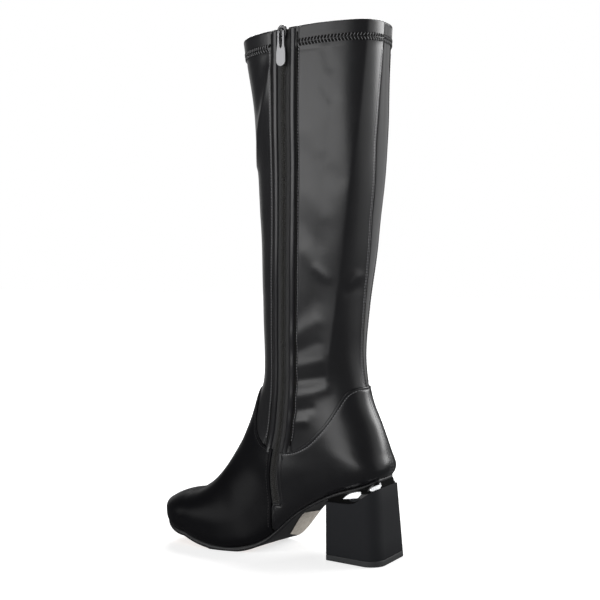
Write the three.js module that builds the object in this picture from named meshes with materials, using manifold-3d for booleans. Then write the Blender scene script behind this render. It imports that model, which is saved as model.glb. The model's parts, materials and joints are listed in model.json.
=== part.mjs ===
// Knee-high boot with a block heel, for the right foot, zipped on the inner side.
// Millimetres. +X runs from heel to toe, +Y to the wearer's inner side, +Z up.
// The shoe is drawn with the back of its heel near x = 0 and its sole on z = 0,
// and the group is moved at the end so that the origin is under its middle.
import * as THREE from 'three';
import { mergeVertices } from 'three/addons/utils/BufferGeometryUtils.js';
import Module from 'manifold-3d';

const wasm = await Module();
wasm.setup();

// ---------------------------------------------------------------- sizes
const SHOE_MIDDLE = [112.8, 3.1];      // x and y of the point under the middle of the shoe
const GAP = 0.3;                       // between pieces that meet
const WALL = 1.8;                      // upper with its lining
const OVERLAY = 1.2;                   // vamp and counter leather
const INSOLE_THICK = 2.2;
const LASTING_MARGIN = 8;              // upper turned under the insole
const HEEL_HALF_TOP = 25.5;
const HEEL_HALF_BASE = 29.3;
const BREAST_HALF_TOP = 25;
const BREAST_HALF_BASE = 23.5;
const CORNER_INNER = 14;                 // radius of the block's rear corner, inner side
const CORNER_OUTER = 9;
const BREAST_X = 52;
const TOP_LIFT = 5;
const ZIP_SLOT = 3.6;                  // half width of the slot that the zip fills
const ZIP_CHAIN = 3.2;                 // half width of the closed chain on its tape
const FACING_IN = 4.2;                 // facing strips run from here
const FACING_OUT = 11.8;               // to here, either side of the zip
const FACING_LIFT = 0.6;               // under side of a facing, over the upper's skin
const PULL_LENGTH = 30;
const PULL_HALF_WIDTH = 4;
const PULL_THICK = 1.4;

// The last, one row a section from collar to toe. A section is an oval between its front
// point and its back point; 'widest' is where its centre lies, from back (0) to front (1).
// front_x front_z back_x back_z half_inner half_outer centre_y widest square_front square_back
const LAST = [
  [139.5, 456.5, 5.2, 463.5, 47, 47, 0, 0.5, 2.3, 2.3],
  [131.8, 400, 7.3, 400, 46, 46, 0, 0.5, 2.2, 2.2],
  [127.5, 340, 8.7, 340, 43.5, 43.5, 0, 0.5, 2.1, 2.1],
  [124.9, 280, 15.7, 280, 40, 40, 0, 0.5, 2.1, 2.1],
  [123.9, 220, 22.9, 220, 36, 36, 0, 0.5, 2, 2],
  [123.1, 178, 26.4, 176, 33, 33, 0, 0.5, 2, 2],
  [124.6, 153, 21.4, 142, 32, 32, 0, 0.5, 2, 2],
  [130.5, 138, 10.8, 116, 32, 32, 0, 0.46, 2, 2],
  [134.6, 126.3, 3.7, 95, 32, 32, 0, 0.4, 2, 2.2],
  [138.6, 115.8, 0.8, 80, 32, 32, 0, 0.34, 2, 2.6],
  [142.8, 106.3, 13, 69.5, 31.5, 31.5, 0, 0.3, 2, 3.4],
  [147.4, 97.1, 48, 57.2, 31, 32, -1, 0.32, 2, 5],
  [153.4, 88.2, 84, 37.5, 31, 34, -3, 0.34, 2, 7],
  [158.9, 78.3, 112, 13, 34, 37, -2, 0.33, 2, 8],
  [164.6, 68, 132, 4.9, 37.5, 41, 0, 0.32, 2.1, 8],
  [172.6, 58.4, 152, 3.6, 39.5, 42, 1, 0.33, 2.2, 8],
  [182.9, 50.9, 174, 6.8, 38.2, 39.2, 2, 0.36, 2.3, 7],
  [194, 46.4, 192, 12, 35.4, 36, 2.5, 0.4, 2.4, 6],
];
const TOE_TIP = [224, 27.5];
const TOE_TURNS = [17, 35, 52, 68, 83];
const TOE_FULLNESS = 0.95;
// x along the shoe and the sole's thickness there
const SOLE_THICKNESS = [[-6, 1.6], [51, 1.7], [68, 2], [96, 2.4], [124, 3.3], [206, 3.3], [230, 3]];
const FOREFOOT_FLAT = [143, 163];     // the sole rests on the ground between these
const ARCH_DROP = 8;                   // the waist's outer edge hangs lower than its inner edge
const ARCH_X = [72, 100, 134];         // where the drop starts, is full and ends
const ARCH_EDGE = 33;                  // none at this y, full at minus this y
const ARCH_TALL = [3, 46];             // full up to this height over the sole line, gone at this one
// x, z down the zip: collar, shaft, ankle, its end above the sole
const ZIP_LINE = [
  [80.5, 475], [80.5, 449], [82.5, 356], [85.5, 270], [89, 200], [90.7, 148],
  [94.5, 114], [98.6, 93], [99, 68], [96, 46.5],
];
// x, z along the vamp's top edge from centre front, and along the counter's from the zip
const VAMP_EDGE = [[128, 150], [125, 141], [126.3, 128], [126, 117], [122, 106], [112, 96.5]];
const COUNTER_EDGE = [[74, 98.3], [62, 106], [53, 115], [46, 125], [40, 136], [34, 146.5], [27, 151.2]];
// x, z of the joint between shaft and foot upper, under the vamp and the counter
const SHAFT_JOINT = [
  [160, 139], [137, 139], [134, 128], [133, 114], [128, 101], [116, 89], [99, 83], [82, 84.5],
  [56, 98], [38, 116], [27, 137], [20, 142.5], [-15, 144],
];
// x, z of the rim round the heel block's top, of the ledge inside it, of the seat above
const HEEL_RIM = [
  [BREAST_X, 51.6], [40, 51.6], [30, 51.8], [24, 52.8], [19, 55.4], [14, 59], [8, 63], [2, 66],
];
const HEEL_LEDGE = [[51, 52.8], [46, 53.7], [42, 54.7], [33, 56.3], [24, 57.3], [17, 57.8], [12, 58]];
const SEAT_UNDER = [
  [46.5, 54.2], [42, 55.2], [33, 56.8], [25, 60.2], [16, 63.4], [9, 65.4], [2, 66.9], [-2, 67.9],
];

const COLUMN = {
  frontX: 0, frontZ: 1, backX: 2, backZ: 3, inner: 4, outer: 5, midY: 6, widest: 7, sqF: 8, sqB: 9,
};
const AROUND = 28;

// ---------------------------------------------------------------- helpers
function catmull(rows, t) {
  const n = rows.length;
  const i = Math.min(Math.floor(t), n - 2);
  const f = t - i;
  const p1 = rows[i];
  const p2 = rows[i + 1];
  const p0 = i > 0 ? rows[i - 1] : p1.map((v, k) => 2 * v - p2[k]);
  const p3 = i < n - 2 ? rows[i + 2] : p2.map((v, k) => 2 * v - p1[k]);
  return p1.map((v, k) => 0.5 * (2 * v + (p2[k] - p0[k]) * f
    + (2 * p0[k] - 5 * v + 4 * p2[k] - p3[k]) * f * f
    + (3 * v - p0[k] - 3 * p2[k] + p3[k]) * f * f * f));
}

function lerpTable(table, x, column) {
  let i = 0;
  while (i < table.length - 2 && table[i + 1][0] < x) i += 1;
  const a = table[i];
  const b = table[i + 1];
  const f = THREE.MathUtils.clamp((x - a[0]) / (b[0] - a[0]), 0, 1);
  return a[column] + f * (b[column] - a[column]);
}
const zipX = (z) => {
  let i = 0;
  while (i < ZIP_LINE.length - 2 && ZIP_LINE[i + 1][1] > z) i += 1;
  const a = ZIP_LINE[i];
  const b = ZIP_LINE[i + 1];
  return a[0] + (b[0] - a[0]) * (z - a[1]) / (b[1] - a[1]);
};

// sections of the last: one to a row down to the ankle, two in the foot, the toe closes in steps
const ANKLE_ROW = 7;
const BALL_ROWS = [14, 15];            // nearly straight, so one is enough there too
function lastSections() {
  const list = [];
  for (let i = 0; i < LAST.length - 1; i += 1) {
    const steps = i < ANKLE_ROW || BALL_ROWS.includes(i) ? 1 : 2;
    for (let k = 0; k < steps; k += 1) list.push(catmull(LAST, i + k / steps));
  }
  const end = LAST[LAST.length - 1];
  list.push(end);
  const mid = [(end[0] + end[2]) / 2, (end[1] + end[3]) / 2];
  for (const turn of TOE_TURNS) {
    const a = THREE.MathUtils.degToRad(turn);
    const shrink = Math.cos(a) ** TOE_FULLNESS;
    const x = mid[0] + (TOE_TIP[0] - mid[0]) * Math.sin(a);
    const z = mid[1] + (TOE_TIP[1] - mid[1]) * Math.sin(a);
    const row = [...end];
    row[0] = x + (end[0] - mid[0]) * shrink;
    row[1] = z + (end[1] - mid[1]) * shrink;
    row[2] = x + (end[2] - mid[0]) * shrink;
    row[3] = z + (end[3] - mid[1]) * shrink;
    row[4] *= shrink;
    row[5] *= shrink;
    list.push(row);
  }
  return list;
}

function ringOf(section) {
  const front = new THREE.Vector3(section[COLUMN.frontX], 0, section[COLUMN.frontZ]);
  const back = new THREE.Vector3(section[COLUMN.backX], 0, section[COLUMN.backZ]);
  const along = front.clone().sub(back);
  const length = along.length();
  along.normalize();
  const w = section[COLUMN.widest];
  const centre = back.clone().addScaledVector(along, w * length);
  centre.y = section[COLUMN.midY];
  const ring = [];
  for (let j = 0; j < AROUND; j += 1) {
    const angle = (2 * Math.PI * j) / AROUND;
    const c = Math.cos(angle);
    const s = Math.sin(angle);
    const power = 2 / (c >= 0 ? section[COLUMN.sqF] : section[COLUMN.sqB]);
    const a = (c >= 0 ? 1 - w : w) * length * Math.sign(c) * Math.abs(c) ** power;
    const half = s >= 0 ? section[COLUMN.inner] : section[COLUMN.outer];
    const point = centre.clone().addScaledVector(along, a);
    point.y += half * Math.sign(s) * Math.abs(s) ** power;
    ring.push(point);
  }
  return ring;
}

const LEVEL_RINGS = lastSections().map(ringOf);

// height of the line where upper and sole meet: the back points of the foot's sections
const FIRST_SOLE_RING = LEVEL_RINGS.findIndex((ring) => ring[AROUND / 2].z < 70);
const HEEL_SEAT_RISE = [-8, 75.5];
const nearFlatEnd = (x) => FOREFOOT_FLAT.some((end) => Math.abs(x - end) < 3);
const backPoint = (ring) => [ring[AROUND / 2].x, ring[AROUND / 2].z];
const SOLE_LINE = [HEEL_SEAT_RISE, ...LEVEL_RINGS.slice(FIRST_SOLE_RING, -2).map(backPoint)];
const soleZ = (x) => lerpTable(SOLE_LINE, x, 1);
// the sole's own sections share the last's, and add the ends of the flat on the ground
const soleXs = SOLE_LINE.map(([x]) => x).filter((x) => !nearFlatEnd(x));
const STATIONS = [...soleXs, ...FOREFOOT_FLAT, 222, 240].sort((a, b) => a - b);
const soleThick = (x) => lerpTable(SOLE_THICKNESS, x, 1);

// the inner arch of a foot is the higher one, so the waist slopes down to its outer edge
function archDrop(x, y) {
  const reach = x < ARCH_X[1] ? ARCH_X[1] - ARCH_X[0] : ARCH_X[2] - ARCH_X[1];
  const along = Math.cos((Math.PI / 2) * Math.min(Math.abs(x - ARCH_X[1]) / reach, 1)) ** 2;
  return ARCH_DROP * along * (ARCH_EDGE - y) / (2 * ARCH_EDGE);
}
function slopeWaist(point) {
  const low = 1 - THREE.MathUtils.smoothstep(point.z - soleZ(point.x), ARCH_TALL[0], ARCH_TALL[1]);
  return new THREE.Vector3(point.x, point.y, point.z - low * archDrop(point.x, point.y));
}
const RINGS = LEVEL_RINGS.map((ring) => ring.map(slopeWaist));

// the last as a closed mesh, grown outward by 'offset' and raised past the collar by 'rise'
function lastForm(offset, rise = 0) {
  const moved = RINGS.map((ring, i) => ring.map((point, j) => {
    const up = RINGS[Math.max(i - 1, 0)][j];
    const down = RINGS[Math.min(i + 1, RINGS.length - 1)][j];
    const next = ring[(j + 1) % AROUND];
    const before = ring[(j + AROUND - 1) % AROUND];
    const normal = next.clone().sub(before).cross(up.clone().sub(down));
    if (i === 0) normal.z = 0;
    if (normal.lengthSq() < 1e-9) normal.set(1, 0, 0);
    return point.clone().addScaledVector(normal.normalize(), offset);
  }));
  if (rise > 0) moved.unshift(moved[0].map((p) => new THREE.Vector3(p.x, p.y, p.z + rise)));
  const flat = moved.flat();
  const faces = [];
  for (let i = 0; i < moved.length - 1; i += 1) {
    for (let j = 0; j < AROUND; j += 1) {
      const k = (j + 1) % AROUND;
      const a = i * AROUND + j;
      const b = i * AROUND + k;
      const c = (i + 1) * AROUND + k;
      const d = (i + 1) * AROUND + j;
      faces.push([a, d, b], [b, d, c]);
    }
  }
  const total = (ring) => ring.reduce((sum, p) => sum.add(p), new THREE.Vector3());
  const middle = (ring) => total(ring).multiplyScalar(1 / AROUND);
  const top = flat.push(middle(moved[0])) - 1;
  const tipAhead = new THREE.Vector3(0.4 + Math.max(offset, 0), 0, 0);
  const tip = flat.push(middle(moved[moved.length - 1]).add(tipAhead)) - 1;
  const last = (moved.length - 1) * AROUND;
  for (let j = 0; j < AROUND; j += 1) {
    const k = (j + 1) % AROUND;
    faces.push([top, j, k], [tip, last + k, last + j]);
  }
  return meshGeometry(flat, faces);
}

function meshGeometry(points, faces) {
  const geometry = new THREE.BufferGeometry();
  const numbers = points.flatMap((p) => [p.x, p.y, p.z]);
  geometry.setAttribute('position', new THREE.Float32BufferAttribute(numbers, 3));
  geometry.setIndex(faces.flat());
  return geometry;
}

function solid(geometry) {
  const plain = geometry.clone();
  plain.deleteAttribute('normal');
  plain.deleteAttribute('uv');
  const merged = mergeVertices(plain, 1e-4);
  const mesh = new wasm.Mesh({
    numProp: 3,
    vertProperties: Float32Array.from(merged.attributes.position.array),
    triVerts: Uint32Array.from(merged.index.array),
  });
  return new wasm.Manifold(mesh);
}

function geometryOf(body) {
  const mesh = body.getMesh();
  const geometry = new THREE.BufferGeometry();
  geometry.setAttribute('position', new THREE.BufferAttribute(Float32Array.from(mesh.vertProperties), 3));
  geometry.setIndex(new THREE.BufferAttribute(Uint32Array.from(mesh.triVerts), 1));
  const loose = geometry.toNonIndexed();
  loose.computeVertexNormals();
  return loose;
}

// a side-view outline (x, z) pushed through the shoe from y0 to y1
function sidePrism(outline, y0, y1) {
  const shape = new THREE.Shape(outline.map(([x, z]) => new THREE.Vector2(x, z)));
  const geometry = new THREE.ExtrudeGeometry(shape, { depth: y1 - y0, bevelEnabled: false });
  geometry.rotateX(Math.PI / 2);
  geometry.translate(0, y1, 0);
  return solid(geometry);
}

// a plan-view outline (x, y) pushed up from z0 to z1
function planPrism(outline, z0, z1) {
  const shape = new THREE.Shape(outline.map(([x, y]) => new THREE.Vector2(x, y)));
  const geometry = new THREE.ExtrudeGeometry(shape, { depth: z1 - z0, bevelEnabled: false });
  geometry.translate(0, 0, z0);
  return solid(geometry);
}

// where the last's skin lies, seen from a point in a direction
const SKIN = new THREE.Mesh(lastForm(0, 20), new THREE.MeshBasicMaterial({ side: THREE.DoubleSide }));
function skinFrom(origin, direction) {
  const ray = new THREE.Raycaster(origin, direction.clone().normalize());
  const hits = ray.intersectObject(SKIN);
  return hits.length ? hits[0].point : null;
}

function innerSide(x, z) {
  return skinFrom(new THREE.Vector3(x, 150, z), new THREE.Vector3(0, -1, 0));
}

function innerNormal(x, z) {
  const dx = innerSide(x + 2, z).sub(innerSide(x - 2, z));
  const dz = innerSide(x, z + 2).sub(innerSide(x, z - 2));
  return dz.cross(dx).normalize();
}

// outline of the foot where it meets the sole, drawn in from the skin by 'inset'
function footOutline(inset, lift, waistInset = inset) {
  const stations = [];
  const heel = [34, 0, 27];
  const toe = [190, 2.5, 30];
  for (let a = 90; a <= 270; a += 15) stations.push([heel, a]);
  for (let x = 50; x <= 180; x += 13) stations.push([[x, 0, 0], 270]);
  for (let a = -90; a <= 90; a += 15) stations.push([toe, a]);
  for (let x = 180; x >= 50; x -= 13) stations.push([[x, 0, 0], 90]);
  return stations.map(([[cx, cy, reach], degrees]) => {
    const a = THREE.MathUtils.degToRad(degrees);
    const out = new THREE.Vector3(Math.cos(a), Math.sin(a), 0);
    const x = cx + reach * out.x;
    const z = soleZ(x) - archDrop(x, ARCH_EDGE * out.y) + lift;
    const hit = skinFrom(new THREE.Vector3(cx, cy, z), out);
    const inWaist = THREE.MathUtils.smoothstep(hit.x, 50, 75) - THREE.MathUtils.smoothstep(hit.x, 100, 130);
    const drawn = inset + (waistInset - inset) * inWaist;
    return [hit.x - out.x * drawn, hit.y - out.y * drawn];
  });
}

// the slab between two heights over the sole line, right across the foot
const BAND_SLICES = [-80, -38, 0, 38, 80];
function soleBand(low, high) {
  const n = STATIONS.length;
  const points = [];
  for (const y of BAND_SLICES) {
    for (const height of [low, high]) {
      for (const x of STATIONS) {
        const z = height(x, soleZ(x) - archDrop(x, y), soleThick(x));
        points.push(new THREE.Vector3(x, y, z));
      }
    }
  }
  const faces = [];
  const quad = (a, b, c, d) => faces.push([a, b, c], [a, c, d]);
  for (let slice = 0; slice < BAND_SLICES.length - 1; slice += 1) {
    const near = slice * 2 * n;
    const far = near + 2 * n;
    for (let i = 0; i < n - 1; i += 1) {
      quad(near + i, far + i, far + i + 1, near + i + 1);
      quad(near + n + i, near + n + i + 1, far + n + i + 1, far + n + i);
    }
    quad(near, near + n, far + n, far);
    quad(near + n - 1, far + n - 1, far + 2 * n - 1, near + 2 * n - 1);
  }
  const end = (BAND_SLICES.length - 1) * 2 * n;
  for (let i = 0; i < n - 1; i += 1) {
    quad(i, i + 1, n + i + 1, n + i);
    quad(end + i, end + n + i, end + n + i + 1, end + i + 1);
  }
  return solid(meshGeometry(points, faces));
}

// a strip that follows the zip between two distances from it and two heights over the skin
function zipStrip(near, far, low, high, zTop, zEnd, steps) {
  const rings = [];
  for (let i = 0; i <= steps; i += 1) {
    const z = zTop + (zEnd - zTop) * (i / steps);
    const corners = [];
    for (const [side, height] of [[near, low], [far, low], [far, high], [near, high]]) {
      const x = zipX(z) + side;
      corners.push(innerSide(x, z).addScaledVector(innerNormal(x, z), height));
    }
    rings.push(corners);
  }
  const faces = [[0, 1, 2], [0, 2, 3]];
  for (let i = 0; i < steps; i += 1) {
    for (let j = 0; j < 4; j += 1) {
      const k = (j + 1) % 4;
      const a = i * 4;
      const b = a + 4;
      faces.push([a + j, b + j, b + k], [a + j, b + k, a + k]);
    }
  }
  const e = steps * 4;
  faces.push([e, e + 2, e + 1], [e, e + 3, e + 2]);
  const body = solid(meshGeometry(rings.flat(), faces));
  return body.volume() > 0 ? body : solid(meshGeometry(rings.flat(), faces.map(([a, b, c]) => [a, c, b])));
}

// ---------------------------------------------------------------- materials and nodes
const boot = new THREE.Group();
function material(color, roughness, metalness = 0) {
  return new THREE.MeshStandardMaterial({ color, roughness, metalness });
}
const LEATHER = material(0x1b1b1d, 0.42);
const OVERLAY_LEATHER = material(0x19191b, 0.38);
const ZIP_BLACK = material(0x0d0d0e, 0.5);
const SEAT_GLOSS = material(0x060607, 0.12);
const HEEL_MATTE = material(0x242527, 0.62);
const RUBBER = material(0x2b2c2e, 0.7);
const SOLE_BLACK = material(0x151516, 0.45);
const INSOLE_GREY = material(0x2a2928, 0.8);
const BRIGHT = material(0xd0d0d4, 0.18, 1);
const PULL_METAL = material(0x8d8f90, 0.3, 1);

function addNode(name, geometry, look) {
  const mesh = new THREE.Mesh(geometry, look);
  mesh.name = name;
  boot.add(mesh);
  return mesh;
}

// ---------------------------------------------------------------- shaft and upper
const outerForm = solid(lastForm(0));
const innerForm = solid(lastForm(-WALL, 12));
const soleOpening = planPrism(footOutline(LASTING_MARGIN, 2), -10, 90)
  .intersect(soleBand((x, z) => z - 6, (x, z) => z + 5));
const zipSlot = zipStrip(-ZIP_SLOT, ZIP_SLOT, -5, 5, 468, 46, 24);
const wholeUpper = outerForm.subtract(innerForm).subtract(soleOpening).subtract(zipSlot);

// the part of the side view between the joint, half a gap away from it, and a level endZ
function besideJoint(clear, endZ) {
  const line = SHAFT_JOINT.map(([x, z]) => [x, z + clear]);
  return sidePrism([[-15, endZ], [160, endZ], ...line], -80, 80);
}
const aboveJoint = besideJoint(GAP / 2, 500);
const foreFoot = sidePrism([[159, -20], [260, -20], [260, 140], [159, 138.8]], -80, 80);
const belowJoint = besideJoint(-GAP / 2, -20).add(foreFoot);
addNode('shaft', geometryOf(wholeUpper.intersect(aboveJoint)), LEATHER);
addNode('upper', geometryOf(wholeUpper.intersect(belowJoint)), LEATHER);

// ---------------------------------------------------------------- outsole and insole
const restingForm = solid(lastForm(GAP));
const onGround = (x) => x >= FOREFOOT_FLAT[0] && x <= FOREFOOT_FLAT[1];
const soleUnder = (x, z, thick) => (onGround(x) ? 0 : Math.max(0, z - GAP - thick));
const outsole = planPrism(footOutline(0.4, 2, 3), -10, 90)
  .intersect(soleBand(soleUnder, (x, z) => z + 0.3))
  .subtract(restingForm);
addNode('outsole', geometryOf(outsole), SOLE_BLACK);

const insole = solid(lastForm(-WALL - 0.5))
  .intersect(soleBand((x, z) => z + WALL + 0.35, (x, z) => z + WALL + 0.35 + INSOLE_THICK));
addNode('insole', geometryOf(insole), INSOLE_GREY);

// ---------------------------------------------------------------- vamp and counter
const overlaySkin = solid(lastForm(GAP + OVERLAY)).subtract(restingForm);
const aboveSole = soleBand((x, z) => z + 1.3, () => 220);
const ZIP_SEAM_END = 42.5;
const SEAM_FOOT_X = 95;
// the side seam runs down the zip line, then on from the zip's end to the sole
function sideSeam(clear) {
  const besideZip = [94, 80, 62, ZIP_SEAM_END].map((z) => [zipX(z) + clear, z]);
  const belowX = SEAM_FOOT_X + Math.sign(clear) * GAP / 2;
  return [...besideZip, [belowX, ZIP_SEAM_END], [belowX, 5]];
}
function vampOutline(clear) {
  const atZip = [zipX(94) + Math.max(clear, 6), 94];
  return [[150, 158], [128, 158], ...VAMP_EDGE, atZip, ...sideSeam(clear), [245, 5], [245, 90]];
}
function counterOutline(clear) {
  return [[-15, 152], [-15, 5], ...sideSeam(-clear).reverse(), ...COUNTER_EDGE];
}
const facingClear = FACING_OUT + 0.9;
const vamp = sidePrism(vampOutline(facingClear), 0, 80).add(sidePrism(vampOutline(0.15), -80, 0));
addNode('vamp', geometryOf(overlaySkin.intersect(aboveSole).intersect(vamp)), OVERLAY_LEATHER);
const counter = sidePrism(counterOutline(facingClear), 0, 80).add(sidePrism(counterOutline(0.15), -80, 0));
addNode('counter', geometryOf(overlaySkin.intersect(aboveSole).intersect(counter)), OVERLAY_LEATHER);

// ---------------------------------------------------------------- zip
addNode('zip_chain', geometryOf(zipStrip(-ZIP_CHAIN, ZIP_CHAIN, -1.4, 0.9, 458, 46.6, 24)), ZIP_BLACK);
const frontFacing = zipStrip(FACING_IN, FACING_OUT, FACING_LIFT, FACING_LIFT + 1, 458.5, 44, 24);
const backFacing = zipStrip(-FACING_OUT, -FACING_IN, FACING_LIFT, FACING_LIFT + 1, 459.5, 44, 24);
addNode('zip_facing_front', geometryOf(frontFacing), OVERLAY_LEATHER);
addNode('zip_facing_back', geometryOf(backFacing), OVERLAY_LEATHER);

// slider and pull share a frame on the skin: local x across the zip, y outward, z up
const SLIDER_Z = 455.5;
const sliderSpot = innerSide(zipX(SLIDER_Z), SLIDER_Z);
const outward = innerNormal(zipX(SLIDER_Z), SLIDER_Z).setZ(0).normalize();
const across = new THREE.Vector3(-outward.y, outward.x, 0).negate();
const upward = new THREE.Vector3(0, 0, 1);
const zipFrame = new THREE.Matrix4().makeBasis(across, outward, upward).setPosition(sliderSpot);
const inZipFrame = (geometry) => solid(geometry.applyMatrix4(zipFrame));

function block(width, depth, height, x, y, z) {
  const geometry = new THREE.BoxGeometry(width, depth, height);
  geometry.translate(x, y, z);
  return geometry;
}
function plate(outline, holes, low, high) {
  const shape = new THREE.Shape(outline.map(([x, z]) => new THREE.Vector2(x, z)));
  for (const hole of holes) shape.holes.push(new THREE.Path(hole.map(([x, z]) => new THREE.Vector2(x, z))));
  const geometry = new THREE.ExtrudeGeometry(shape, { depth: high - low, bevelEnabled: false });
  geometry.rotateX(Math.PI / 2);
  geometry.translate(0, high, 0);
  return geometry;
}

const SLIDER_OUTLINE = [
  [-2.6, -5.5], [2.6, -5.5], [4, -1.5], [4, 2.6], [2.8, 4], [-2.8, 4], [-4, 2.6], [-4, -1.5],
];
const slider = inZipFrame(plate(SLIDER_OUTLINE, [], 1.3, 3))
  .add(inZipFrame(block(1.8, 3.2, 1.4, 0, 4.4, -3.2)))
  .add(inZipFrame(block(1.8, 3.2, 1.4, 0, 4.4, 2.6)))
  .add(inZipFrame(block(1.8, 1.2, 7.2, 0, 6.2, -0.3)));
addNode('zip_slider', geometryOf(slider), ZIP_BLACK);

const HINGE_Y = 4.3;                   // the pull turns about this distance off the skin
const w = PULL_HALF_WIDTH;
const PULL_OUTLINE = [
  [-2.9, 0.7], [2.9, 0.7], [3.1, -6], [3.1, -13], [w, -18], [w, -PULL_LENGTH + 4.5],
  [w - 1.3, -PULL_LENGTH + 1.6], [w - 2.8, -PULL_LENGTH + 0.7], [2.8 - w, -PULL_LENGTH + 0.7],
  [1.3 - w, -PULL_LENGTH + 1.6], [-w, -PULL_LENGTH + 4.5], [-w, -18], [-3.1, -13], [-3.1, -6],
];
const PULL_SLOT = [[-1.5, -0.7], [-1.6, -14], [-0.9, -15.4], [0.9, -15.4], [1.6, -14], [1.5, -0.7]];
const pullPlate = plate(PULL_OUTLINE, [PULL_SLOT], HINGE_Y - PULL_THICK / 2, HINGE_Y + PULL_THICK / 2);
addNode('zip_pull', geometryOf(inZipFrame(pullPlate)), PULL_METAL);

// ---------------------------------------------------------------- heel
function heelOutline(rear, rearHalf, breastX, breastHalf) {
  const points = [];
  for (const side of [1, -1]) {
    const round = side > 0 ? CORNER_INNER : CORNER_OUTER;
    const half = [];
    half.push([breastX, side * breastHalf]);
    for (let a = 90; a <= 180; a += 22.5) {
      const r = THREE.MathUtils.degToRad(a);
      half.push([rear + round + round * Math.cos(r), side * (rearHalf - round + round * Math.sin(r))]);
    }
    points.push(...(side > 0 ? half : half.reverse()));
  }
  return points;
}
function loftedBlock(low, high, z0, z1) {
  const at = (outline, z) => outline.map(([x, y]) => new THREE.Vector3(x, y, z));
  const points = [...at(low, z0), ...at(high, z1)];
  const n = low.length;
  const faces = [];
  for (let j = 0; j < n; j += 1) {
    const k = (j + 1) % n;
    faces.push([j, n + k, k], [j, n + j, n + k]);
  }
  for (let j = 1; j < n - 1; j += 1) faces.push([0, j, j + 1], [n, n + j + 1, n + j]);
  const body = solid(meshGeometry(points, faces));
  return body.volume() > 0 ? body : solid(meshGeometry(points, faces.map(([a, b, c]) => [a, c, b])));
}
const HEEL_TALL = 75;
const heelBase = heelOutline(-1.9, HEEL_HALF_BASE, BREAST_X, BREAST_HALF_BASE);
const heelTop = heelOutline(3.5, HEEL_HALF_TOP, BREAST_X - 0.5, BREAST_HALF_TOP);
const heelBody = loftedBlock(heelBase, heelTop, 0, HEEL_TALL);
const shrunk = (outline, by) => outline.map(([x, y]) => [26 + (x - 26) * (1 - by / 26), y * (1 - by / 26)]);
const ledgeBody = loftedBlock(shrunk(heelBase, 1.2), shrunk(heelTop, 1.2), 0, HEEL_TALL);
const coreBody = loftedBlock(shrunk(heelBase, 3), shrunk(heelTop, 3), 0, HEEL_TALL);

const liftSlab = sidePrism([[-20, 0], [70, 0], [70, TOP_LIFT], [-20, TOP_LIFT]], -50, 50);
addNode('top_lift', geometryOf(heelBody.intersect(liftSlab)), RUBBER);
const rimFoot = [[-20, TOP_LIFT + GAP], [70, TOP_LIFT + GAP], [70, 51.6]];
const underRim = sidePrism([...rimFoot, ...HEEL_RIM, [-20, 66]], -50, 50);
const underLedge = sidePrism([[10, 40], [51, 40], ...HEEL_LEDGE], -50, 50);
const heelBlock = heelBody.intersect(underRim).add(ledgeBody.intersect(underLedge));
addNode('heel_block', geometryOf(heelBlock), HEEL_MATTE);

// the seat hangs under the outsole; its slanting strut crosses the open gap
const seatTop = STATIONS.filter((x) => x < 51).map((x) => [x, soleZ(x) - 2 * GAP - soleThick(x)]);
const seatOutline = [...SEAT_UNDER, [-8, 68.5], ...seatTop];
const seatPlan = planPrism(footOutline(1.2, 2), 0, 100);
const strutSide = [[18.5, 64.4], [11.5, 66], [9.5, 63.4], [12.6, 60.6], [15.4, 58.9]];
const strut = ledgeBody.intersect(sidePrism(strutSide, -50, 50));
const seat = seatPlan.intersect(sidePrism(seatOutline, -50, 50)).add(strut);
addNode('heel_seat', geometryOf(seat), SEAT_GLOSS);

const coreSide = [
  [31, 57.1], [24, 57.7], [17.3, 58.3], [18.9, 62], [25, 59.7],
];
addNode('heel_core', geometryOf(coreBody.intersect(sidePrism(coreSide, -50, 50))), BRIGHT);

boot.position.set(-SHOE_MIDDLE[0], -SHOE_MIDDLE[1], 0);
export default boot;
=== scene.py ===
# %% [markdown]
# # A knee-high boot with a block heel
# The boot is for the right foot. It is smooth black synthetic leather, zipped on the inner side,
# with a stretch panel up the back and a matte block heel.
# Sizes in this file are in millimetres in the shoemaker's own frame: x from heel to toe, y to the
# wearer's inner side, z up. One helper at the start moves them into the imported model's frame.

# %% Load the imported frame
import json
import math

import bmesh
import bpy
import numpy as np
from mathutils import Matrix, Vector
from mathutils.bvhtree import BVHTree


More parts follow.
